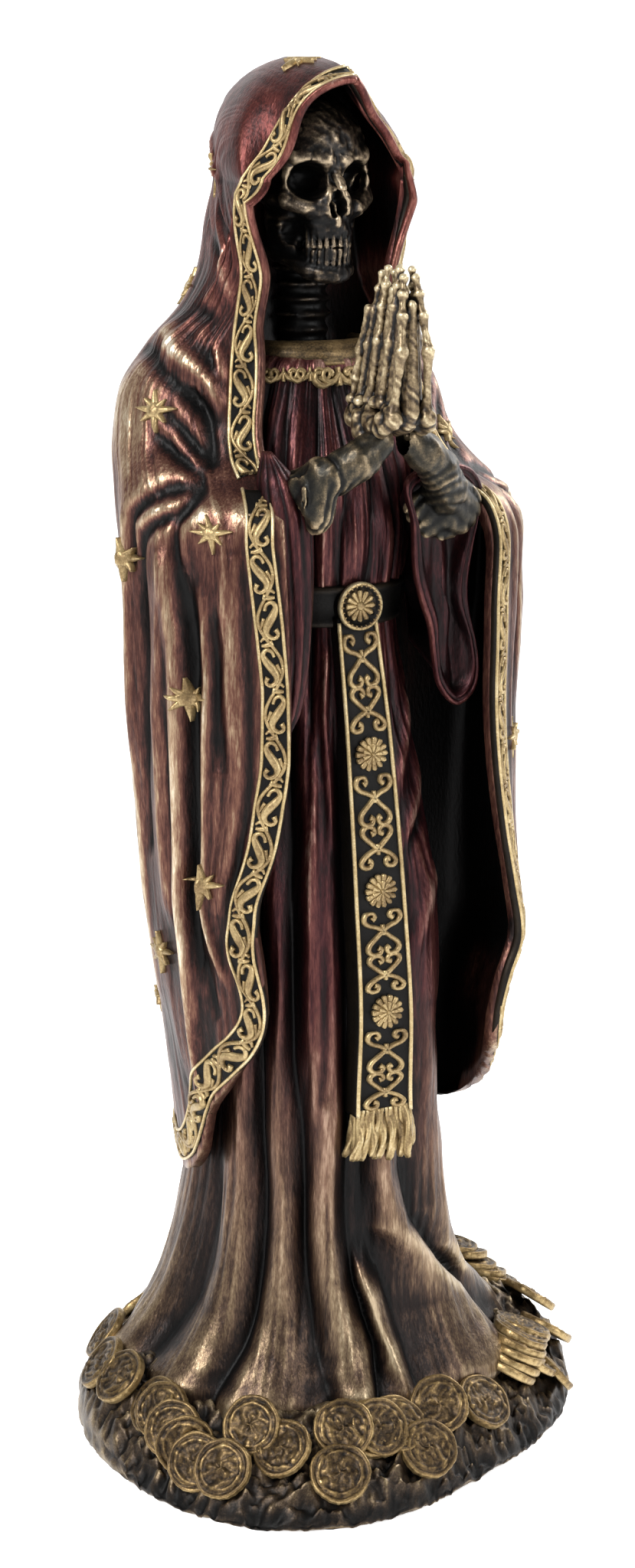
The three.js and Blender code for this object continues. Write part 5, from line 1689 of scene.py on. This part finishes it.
def necklace(finish):
    """A run of scrolled leaves hanging from the collar over the breast, deepest in the middle."""
    parts = []
    for side in (1, -1):
        for course, widths, count in LEAF_CURLS:
            line = [(side * x, y) for x, y in course]
            parts.append(stroke(line, [1.25 * w for w in widths], 0.85, count))
    parts.append(stroke([(0, 0.8), (0, -2.4)], [0.35, 0.5], 0.85, 7))
    unit = joined(parts)
    points, turns, sizes = [], [], []
    half, front, _, _ = dress_section(212.9)
    for bearing, size in LEAVES:
        t = math.radians(bearing)
        facing = math.atan2(math.sin(t) / half, math.cos(t) / front)
        drop = 0.4 if bearing == 0 else 0
        x = (half + 0.3) * math.sin(t) + FIGURE_ASIDE
        y = -(front + 0.35) * math.cos(t) + FIGURE_SETBACK
        points.append((x, y, 213.2 - drop + FOOT_LEVEL))
        turn = Matrix.Rotation(facing, 3, "Z") @ Matrix.Rotation(math.pi / 2 - 0.26, 3, "X")
        turns.append(tuple(turn.to_euler()))
        sizes.append(size)
    return set_out_run(unit, points, turns, sizes, finish)


# Ground and coins
def base_outline(bearing):
    waves = ((0.93, 1, 90), (4.22, 2, 65.5), (2.95, 3, 27.5), (0.58, 4, 21), (0.47, 5, -36))
    swing = sum(a * np.cos(np.radians(k * (bearing + turn))) for a, k, turn in waves[1:])
    return 52.75 + 0.93 * np.cos(np.radians(bearing + 90)) + swing + 1.2 * bump(bearing, 32, 24)


OUTLINE_BEARINGS = np.arange(-180, 180, 9)
OUTLINE_WAYS = np.array([np.sin(np.radians(OUTLINE_BEARINGS)), -np.cos(np.radians(OUTLINE_BEARINGS))])
OUTLINE = base_outline(OUTLINE_BEARINGS) * OUTLINE_WAYS
EXTENT = np.stack([OUTLINE.min(1), OUTLINE.max(1)], -1)


def on_base(bearing, share, height):
    """A place on the ground by bearing from the front and share of the way out to the edge."""
    r = base_outline(bearing)
    flat = [r * np.sin(np.radians(bearing)), -r * np.cos(np.radians(bearing))]
    sized = [
        share * (v - (low + high) / 2) * (size / (high - low))
        for v, (low, high), size in zip(flat, EXTENT, (BASE_WIDTH, BASE_DEPTH))
    ]
    return np.stack([*sized, height + 0 * sized[0]], -1)


# The mound's height as a share of its full height, by the share of the way out.
mound_height = through(
    [[0, 1], [0.6, 0.96], [0.72, 0.86], [0.84, 0.64], [0.93, 0.42], [0.985, 0.2], [1, 0.1]],
)


def ground_level(bearing, share):
    behind = step(np.abs(bearing), 58, 100)
    rough = 0.02 * np.sin(bearing * 0.31 + share * 40) + 0.02 * np.sin(bearing * 0.17 - share * 23)
    level = mound_height(share)[0] ** (1 - 0.5 * behind) * (1 + 0.3 * behind)
    return MOUND_HEIGHT * (level + rough * (1 - step(share, 0.95, 0.985)))


def ground():
    bearings = np.arange(-180, 180, 0.8)
    shares = np.concatenate([np.linspace(0.6, 0.8, 20), np.linspace(0.8, 0.995, 40)[1:]])
    rings = []

    def rough(share, size):
        x, y = np.cos(np.radians(bearings)) * 50 * share, np.sin(np.radians(bearings)) * 50 * share
        lumps = np.abs(grain(x / 4.2, y / 4.2, 51)) + 0.8 * np.abs(grain(x / 2.1, y / 2.1, 52))
        return size * (0.9 - (lumps + 0.5 * grain(x, y, 53)) * 1.7)

    rings.append(on_base(bearings, 0.5, ground_level(bearings, 0.5)))
    for share in shares:
        level = np.maximum(ground_level(bearings, share) + rough(share, 1.1) - 0.9, 0.3)
        rings.append(on_base(bearings, share - 0.012 * np.abs(grain(bearings / 4, share * 30, 54)), level))
    for k, (share, drop) in enumerate(((0.998, 0.75), (0.999, 0.5), (0.996, 0.28), (0.988, 0.1), (0.982, 0))):
        level = (ground_level(bearings, 0.995) - 0.9) * drop + (rough(1.0, 0.5) if drop > 0.2 else 0)
        wave = 0.014 * np.abs(grain(bearings / 5, k * 0.8 + 0 * bearings, 55))
        wave = wave + 0.006 * np.abs(grain(bearings / 1.7, k * 1.7 + 0 * bearings, 56))
        rings.append(on_base(bearings, share - wave, np.maximum(level, 0) if drop else 0 * bearings))
    shape = loft(rings)
    shape.points[:, 0] = np.clip(shape.points[:, 0], CAD_BOX[0][0] / MM + 0.02, CAD_BOX[1][0] / MM - 0.02)
    return shape


# A coin's side, and its face down to the middle: shares of its radius and of half its thickness.
COIN_RIM = ((0.72, -1), (0.97, -1), (1, -0.6), (1, 0.5))
COIN_FACE = ((0.98, 0.8), (0.94, 0.92), (0.89, 0.86), (0.85, 0.66))


def coin(seed):
    """One coin lying flat: uneven rim, worn hammered relief in the middle."""
    half, thick = COIN_DIAMETER / 2, COIN_THICKNESS / 2
    count = 44
    t = np.linspace(0, 2 * math.pi, count, endpoint=False)
    wobble = 0.014 * np.sin(3 * t + seed) + 0.01 * np.sin(7 * t + 2 * seed) - 0.022
    dents = grain(2 * np.cos(t) + 7 * seed, 2 * np.sin(t), 61)
    rings = []
    for r, z in (*COIN_RIM, *COIN_FACE):
        mill = 0.01 * np.cos(22 * t) if abs(z) < 0.7 else 0
        reach = half * (r + mill + wobble)
        high = thick * (z + (0.16 * dents if z > 0 else 0))
        rings.append(np.stack([reach * np.cos(t), reach * np.sin(t), high + 0 * t], -1))
    for r in np.linspace(0.81, 0.06, 14):
        x, y = half * r * np.cos(t), half * r * np.sin(t)
        worn = np.abs(grain(x / 1.7 + 9 * seed, y / 1.1 + 0.3 * x, 60 + seed)) * 1.5
        worn = worn + 0.45 * grain(x / 0.8, y / 0.6, 70 + seed)
        inner_line = 0.35 * bump(r, 0.7, 0.04)
        middle = 0.5 * bump(r, 0, 0.4) * (0.6 + 0.5 * np.cos(3 * t + 4 * r + seed))
        rings.append(np.stack([x, y, thick * (0.5 + 0.42 * worn + inner_line + middle)], -1))
    return loft(rings)


# Coins: bearing, share of the way out, height above the mound, lean outward, lean to the side.
COINS = (
    (-92, 0.89, 0.8, 46, 6),
    (-77, 0.86, 2.6, 52, -4),
    (-67, 0.88, 2.2, 60, 22),
    (-47, 0.775, 3, 58, 0),
    (-38, 0.82, 1.2, 44, -12),
    (-50, 0.92, 1.3, 56, 0),
    (-23, 0.775, 3, 50, 0),
    (-15, 0.78, 1.6, 46, 12),
    (-24, 0.905, 1.4, 46, 0),
    (-7, 0.785, 2, 44, 14),
    (9, 0.81, 3.2, 52, -18),
    (0, 0.905, 2.2, 50, 0),
    (29, 0.85, 2, 42, -4),
    (52, 0.8, 1, 26, 18),
    (54, 0.81, 2.6, 24, 16),
    (56, 0.82, 4.2, 22, 14),
    (71, 0.79, 3.4, 22, 8),
    (65, 0.93, 1.4, 48, 12),
    (81, 0.9, 1.2, 34, 10),
    (92, 0.89, 0.8, 36, 0),
    (-104, 0.91, 1.2, 50, 0),
    (-121, 0.9, 1.1, 52, 6),
    (-140, 0.88, 0.8, 46, -6),
    (107, 0.87, 0.7, 18, 0),
    (109, 0.845, 1.5, 16, 4),
    (111, 0.82, 2.7, 14, -4),
    (113, 0.8, 4, 14, 4),
    (115, 0.775, 5.2, 12, -4),
    (132, 0.88, 1, 44, -6),
    (156, 0.9, 1, 46, 6),
    (-178, 0.88, 1, 44, 0),
    (-161, 0.9, 1, 46, 8),
)


# More coins fanned out in the two heaps at the front, as above.
FANNED = (
    (-73, 0.865, 3.4, 56, 10),
    (-62, 0.89, 1.6, 68, 30),
    (-57, 0.915, 0.9, 60, 16),
    (58, 0.815, 5.4, 24, 12),
    (61, 0.81, 6.2, 26, 10),
    (64, 0.8, 5.6, 24, 6),
    (68, 0.8, 4.6, 22, 12),
    (60, 0.86, 2.6, 30, 14),
    (-13, 0.79, 2.4, 48, 14),
)


def coins(finish):
    rng = np.random.default_rng(23)
    meshes = []
    for kind in range(5):
        points, turns = [], []
        for bearing, share, lift, lean, roll in (*COINS, *FANNED)[kind::5]:
            at = on_base(float(bearing), share, ground_level(float(bearing), share) + lift)
            facing = Matrix.Rotation(math.atan2(at[0], -at[1]), 3, "Z")
            leaning = Matrix.Rotation(math.radians(lean), 3, "X")
            rolled = Matrix.Rotation(math.radians(roll), 3, "Y")
            spun = Matrix.Rotation(rng.uniform(0, 6.28), 3, "Z")
            turn = facing @ leaning @ rolled @ spun
            points.append(tuple(at))
            turns.append(tuple(turn.to_euler()))
        meshes.append(set_out_run(coin(kind), points, turns, [1.0] * len(points), finish))
    return one_mesh("coins", meshes)


# Finishes
def linear(colour):
    """A screen colour from 0 to 255 as the shader's own."""
    c = np.array(colour) / 255
    return (*np.where(c <= 0.04045, c / 12.92, ((c + 0.055) / 1.055) ** 2.4), 1.0)


class Wiring:
    """Adds nodes to a finish one after another."""

    def __init__(self, name):
        self.material = bpy.data.materials.new(name)
        self.material.use_nodes = True
        self.tree = self.material.node_tree
        self.surface = self.tree.nodes["Principled BSDF"]
        self.place = self.tree.nodes.new("ShaderNodeTexCoord").outputs["Object"]

    def set(self, socket, value):
        if isinstance(value, bpy.types.NodeSocket):
            self.tree.links.new(value, socket)
        else:
            socket.default_value = value

    def sum(self, kind, *values):
        node = self.tree.nodes.new("ShaderNodeMath")
        node.operation = kind
        for socket, value in zip(node.inputs, values):
            self.set(socket, value)
        return node.outputs[0]

    def noise(self, scale, detail=3, rough=0.55, stretch=None):
        node = self.tree.nodes.new("ShaderNodeTexNoise")
        place = self.place
        if stretch:
            turn = self.tree.nodes.new("ShaderNodeMapping")
            turn.inputs["Scale"].default_value = stretch
            self.set(turn.inputs["Vector"], place)
            place = turn.outputs[0]
        self.set(node.inputs["Vector"], place)
        self.set(node.inputs["Scale"], scale)
        self.set(node.inputs["Detail"], detail)
        self.set(node.inputs["Roughness"], rough)
        return node.outputs[0]

    def read(self, name):
        node = self.tree.nodes.new("ShaderNodeAttribute")
        node.attribute_name = name
        return node.outputs["Fac"]

    def ramp(self, at, stops):
        node = self.tree.nodes.new("ShaderNodeValToRGB")
        while len(node.color_ramp.elements) < len(stops):
            node.color_ramp.elements.new(0.5)
        for element, (place, colour) in zip(node.color_ramp.elements, stops):
            element.position = place
            element.color = linear(colour)
        self.set(node.inputs[0], at)
        return node.outputs[0]

    def between(self, share, low, high):
        node = self.tree.nodes.new("ShaderNodeMix")
        node.data_type = "RGBA"
        for name, value in (("Factor_Float", share), ("A_Color", low), ("B_Color", high)):
            self.set(next(s for s in node.inputs if s.identifier == name), value)
        return next(s for s in node.outputs if s.identifier == "Result_Color")

    def range(self, value, low, high, a=0.0, b=1.0):
        node = self.tree.nodes.new("ShaderNodeMapRange")
        for socket, v in zip(node.inputs, (value, low, high, a, b)):
            self.set(socket, v)
        return node.outputs[0]


def patina(
    name,
    stops,
    fine=0.16,
    broad=0.16,
    metal=0.72,
    rough=(0.5, 0.34),
    grainy=0.35,
    streaks=True,
    top=None,
    bumps=0.00012,
):
    """Dark metal rubbed bright on its raised places: stops run from the hollows to the worn edges."""
    w = Wiring(name)
    speck = w.noise(2400, 4, 0.68, (1, 1, 0.12) if streaks else None)
    cloud = w.noise(170, 5, 0.66, (1, 1, 0.22) if streaks else None)
    worn = w.sum("MULTIPLY_ADD", w.read("worn"), fine, 0.5)
    worn = w.sum("MULTIPLY_ADD", w.read("ridge"), broad, worn)
    worn = w.sum("MULTIPLY_ADD", w.sum("SUBTRACT", speck, 0.5), grainy, worn)
    worn = w.sum("MULTIPLY_ADD", w.sum("SUBTRACT", cloud, 0.5), grainy * 1.3, worn)
    colour = w.ramp(worn, stops)
    if top is not None:
        low, high, other = top
        split = w.tree.nodes.new("ShaderNodeSeparateXYZ")
        w.set(split.inputs[0], w.place)
        height = w.sum("MULTIPLY_ADD", w.sum("SUBTRACT", cloud, 0.5), 0.05, split.outputs["Z"])
        colour = w.between(w.range(height, low, high), colour, w.ramp(worn, other))
    w.set(w.surface.inputs["Base Color"], colour)
    w.set(w.surface.inputs["Metallic"], metal)
    w.set(w.surface.inputs["Roughness"], w.range(worn, 0.25, 0.85, *rough))
    dent = w.tree.nodes.new("ShaderNodeBump")
    w.set(dent.inputs["Strength"], 0.6)
    w.set(dent.inputs["Distance"], bumps)
    w.set(dent.inputs["Height"], w.noise(1500, 3, 0.6, (1, 1, 0.4) if streaks else None))
    w.set(w.surface.inputs["Normal"], dent.outputs[0])
    return w.material


copper = patina(
    "copper_red_cloth",
    [(0.31, (6, 5, 5)), (0.45, (31, 18, 16)), (0.57, (66, 37, 32))]
    + [(0.7, (104, 70, 57)), (0.85, (158, 134, 108)), (1.0, (220, 206, 182))],
    top=(
        0.225,
        0.262,
        [(0.28, (8, 5, 5)), (0.44, (44, 18, 17)), (0.58, (82, 37, 33))]
        + [(0.74, (126, 78, 68)), (0.92, (198, 176, 160))],
    ),
    rough=(0.46, 0.3),
    broad=0.13,
    grainy=0.48,
    bumps=0.0002,
)
maroon = patina(
    "maroon_dress",
    [(0.25, (5, 4, 4)), (0.44, (30, 21, 18)), (0.58, (72, 55, 43))]
    + [(0.72, (120, 101, 78)), (0.9, (182, 164, 134))],
    top=(
        0.03,
        0.1,
        [(0.3, (5, 3, 4)), (0.48, (26, 10, 12)), (0.62, (55, 22, 25))]
        + [(0.77, (92, 51, 47)), (0.96, (160, 126, 112))],
    ),
    rough=(0.46, 0.32),
    grainy=0.46,
    bumps=0.0002,
)
gold = patina(
    "antique_gold",
    [(0.26, (14, 11, 8)), (0.41, (66, 53, 35)), (0.57, (126, 104, 70))]
    + [(0.75, (178, 156, 112)), (0.95, (220, 204, 166))],
    fine=0.18,
    broad=0.1,
    metal=0.6,
    rough=(0.48, 0.34),
    grainy=0.45,
    streaks=False,
)
black = patina(
    "sunk_ground",
    [(0.3, (5, 5, 5)), (0.58, (15, 13, 11)), (0.8, (44, 35, 25)), (0.92, (120, 98, 66))],
    fine=0.2,
    broad=0.02,
    grainy=0.2,
    rough=(0.6, 0.42),
    streaks=False,
)
bone_dark = patina(
    "dark_bone",
    [(0.34, (3, 3, 3)), (0.53, (15, 12, 10)), (0.67, (39, 33, 27))]
    + [(0.81, (86, 74, 60)), (1.0, (166, 148, 122))],
    fine=0.2,
    broad=0.13,
    metal=0.62,
    rough=(0.48, 0.32),
    grainy=0.42,
    streaks=False,
)
bone_pale = patina(
    "pale_bone",
    [(0.33, (7, 5, 4)), (0.5, (36, 28, 20)), (0.64, (80, 65, 46))]
    + [(0.79, (134, 116, 87)), (0.97, (196, 180, 146))],
    fine=0.24,
    broad=0.18,
    metal=0.5,
    rough=(0.48, 0.34),
    streaks=False,
)
green_bronze = patina(
    "forearm_bronze",
    [(0.34, (5, 5, 4)), (0.52, (20, 19, 15)), (0.67, (44, 40, 31))]
    + [(0.82, (84, 73, 56)), (1.0, (146, 128, 100))],
    fine=0.2,
    broad=0.16,
    metal=0.65,
    grainy=0.42,
    streaks=False,
)
coin_gold = patina(
    "coin_gold",
    [(0.24, (16, 12, 8)), (0.42, (50, 38, 24)), (0.57, (88, 70, 44))]
    + [(0.73, (130, 107, 68)), (0.92, (184, 160, 114))],
    fine=0.22,
    broad=0.08,
    grainy=0.5,
    streaks=False,
)
ground_bronze = patina(
    "ground_bronze",
    [(0.26, (7, 6, 5)), (0.42, (28, 22, 17)), (0.57, (62, 50, 38))]
    + [(0.74, (114, 98, 74)), (0.92, (184, 166, 134))],
    fine=0.24,
    broad=0.14,
    grainy=0.42,
    streaks=False,
)


# The figure's pieces
cloth, cloth_ridge = mantle()
mantle_piece = show("mantle", cloth, copper, 5, cloth_ridge)
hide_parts("praying_skeleton_figure")
skirt, skirt_ridge = dress()
show("dress", skirt, maroon, 5, skirt_ridge)
show("belt", belt(), black)
show("sash", sash(), black)
show("collar", collar(), gold, 6, -0.9)
dress_piece("necklace", necklace(gold), gold)
# The neck is set dark with a low ridge: painted shade of the hood over it.
show("neck", neck(), bone_dark, 5, -0.8)
head = skull()
head_depth, head_height = head.points[:, 1], head.points[:, 2]
brow = 0.9 * step(head_height, 258, 264) * (1 - step(head_depth, 0, 5))
head_ridge = relief_of(head, 30) + brow - 0.9 * (1 - step(head_height, 252, 255))
show("skull", head, bone_dark, 5, head_ridge)
show("hands", hands(), bone_pale, 5)
show("forearms", forearms(), green_bronze, 6)
show("left_sleeve", left_sleeve(), maroon, 5, 0.1)
show("right_sleeve", right_sleeve(), maroon, 6, 0.0)

hood_borders = [Border(HOOD_BORDER, side, bridged=True) for side in (-1, 1)]
borders = [*hood_borders, Border(RIGHT_FRONT_BORDER, -1), Border(LEFT_FRONT_BORDER, 1)]
show("border_ground", placed(joined([border_band(b) for b in borders])), black, 3)
show("border_lines", placed(joined([border_lines(b) for b in borders])), gold, 3)
scrolls = [border_parts(b, gold) for b in borders]
dress_piece("border_scrolls", one_mesh("border_scrolls", scrolls), gold)
rolls = placed(joined([border_edge(b) for b in hood_borders]))
show("rolled_edge", rolls, copper, 4, 0.0)
show("stars", mantle_stars(), gold, 3, 0.9)

show("sash_lines", sash_lines(), gold, 3)
plate, flower = buckle()
show("buckle_plate", plate, black)
show("buckle_flower", flower, gold, 3)
rosettes, runs = sash_trim()
show("rosettes", rosettes, gold, 3)
hearts = [border_run(motif, unit, points, out, wide, gold) for motif, unit, points, out, wide in runs]
dress_piece("sash_hearts", one_mesh("sash_hearts", hearts), gold)
dress_piece("fringe", fringe(gold), gold)

soil = ground()
# Darker over the lowest few millimetres: painted shade at the foot of the ground.
soil_ridge_and_foot_shade = 0.5 * relief_of(soil, 20) - 2 * (1 - step(soil.points[:, 2], 1, 5))
show("ground", soil, ground_bronze, 4, soil_ridge_and_foot_shade)
dress_piece("coins", coins(coin_gold), coin_gold)


# Stage: a pale floor that runs up behind, soft light from both sides and above
def sheet_of_floor():
    bend = np.linspace(0, math.pi / 2, 16)[1:]
    profile = [(-3, 0), (1.2, 0)]
    profile += [(1.2 + 0.8 * math.sin(a), 0.8 - 0.8 * math.cos(a)) for a in bend]
    profile += [(2, 4)]
    cosine, sine = math.cos(math.radians(27)), math.sin(math.radians(27))
    points, faces = [], []
    for y, z in profile:
        for x in (-4, 4):
            points.append((x * cosine + y * sine, -x * sine + y * cosine, z))
    for k in range(len(profile) - 1):
        faces.append((2 * k, 2 * k + 1, 2 * k + 3, 2 * k + 2))
    mesh = bpy.data.meshes.new("floor")
    mesh.from_pydata(points, [], faces)
    mesh.shade_smooth()
    floor = bpy.data.objects.new("floor", mesh)
    bpy.context.scene.collection.objects.link(floor)
    pale = bpy.data.materials.new("pale_floor")
    pale.use_nodes = True
    surface = pale.node_tree.nodes["Principled BSDF"].inputs
    surface["Base Color"].default_value = (0.93, 0.93, 0.93, 1)
    surface["Roughness"].default_value = 0.9
    surface["Emission Color"].default_value = (1, 1, 1, 1)
    surface["Emission Strength"].default_value = 0.58
    mesh.materials.append(pale)
    return floor


sheet_of_floor()


def soft_light(name, place, aim, wide, high, power, tint=(1, 1, 1)):
    light = bpy.data.lights.new(name, "AREA")
    light.shape = "RECTANGLE"
    light.size, light.size_y = wide, high
    light.energy = power
    light.color = tint
    lamp = bpy.data.objects.new(name, light)
    lamp.location = place
    lamp.rotation_euler = (Vector(aim) - Vector(place)).to_track_quat("-Z", "Y").to_euler()
    bpy.context.scene.collection.objects.link(lamp)
    return lamp


soft_light("key", (-0.8, -0.35, 0.8), (0, 0, 0.17), 0.35, 0.6, 12)
soft_light("fill", (0.35, -0.9, 0.5), (0, 0, 0.15), 0.3, 0.6, 4.5)
soft_light("back", (0.75, 0.1, 0.6), (0, 0, 0.2), 0.3, 0.5, 5)

world = bpy.data.worlds.new("studio")
bpy.context.scene.world = world
world.use_nodes = True
world.node_tree.nodes["Background"].inputs["Color"].default_value = (1, 1, 1, 1)
world.node_tree.nodes["Background"].inputs["Strength"].default_value = 0.36

lens = bpy.data.cameras.new("camera")
lens.sensor_fit = "AUTO"
lens.sensor_width = 24
lens.lens = 49.44
lens.shift_x = -0.0051
lens.clip_start = 0.01
camera = bpy.data.objects.new("camera", lens)
camera.location = (-0.29723, -0.57768, 0.290)
camera.rotation_euler = (math.radians(90 - 13.04), 0, math.radians(-27))
bpy.context.scene.collection.objects.link(camera)
bpy.context.scene.camera = camera
bpy.context.scene.view_settings.view_transform = "Standard"
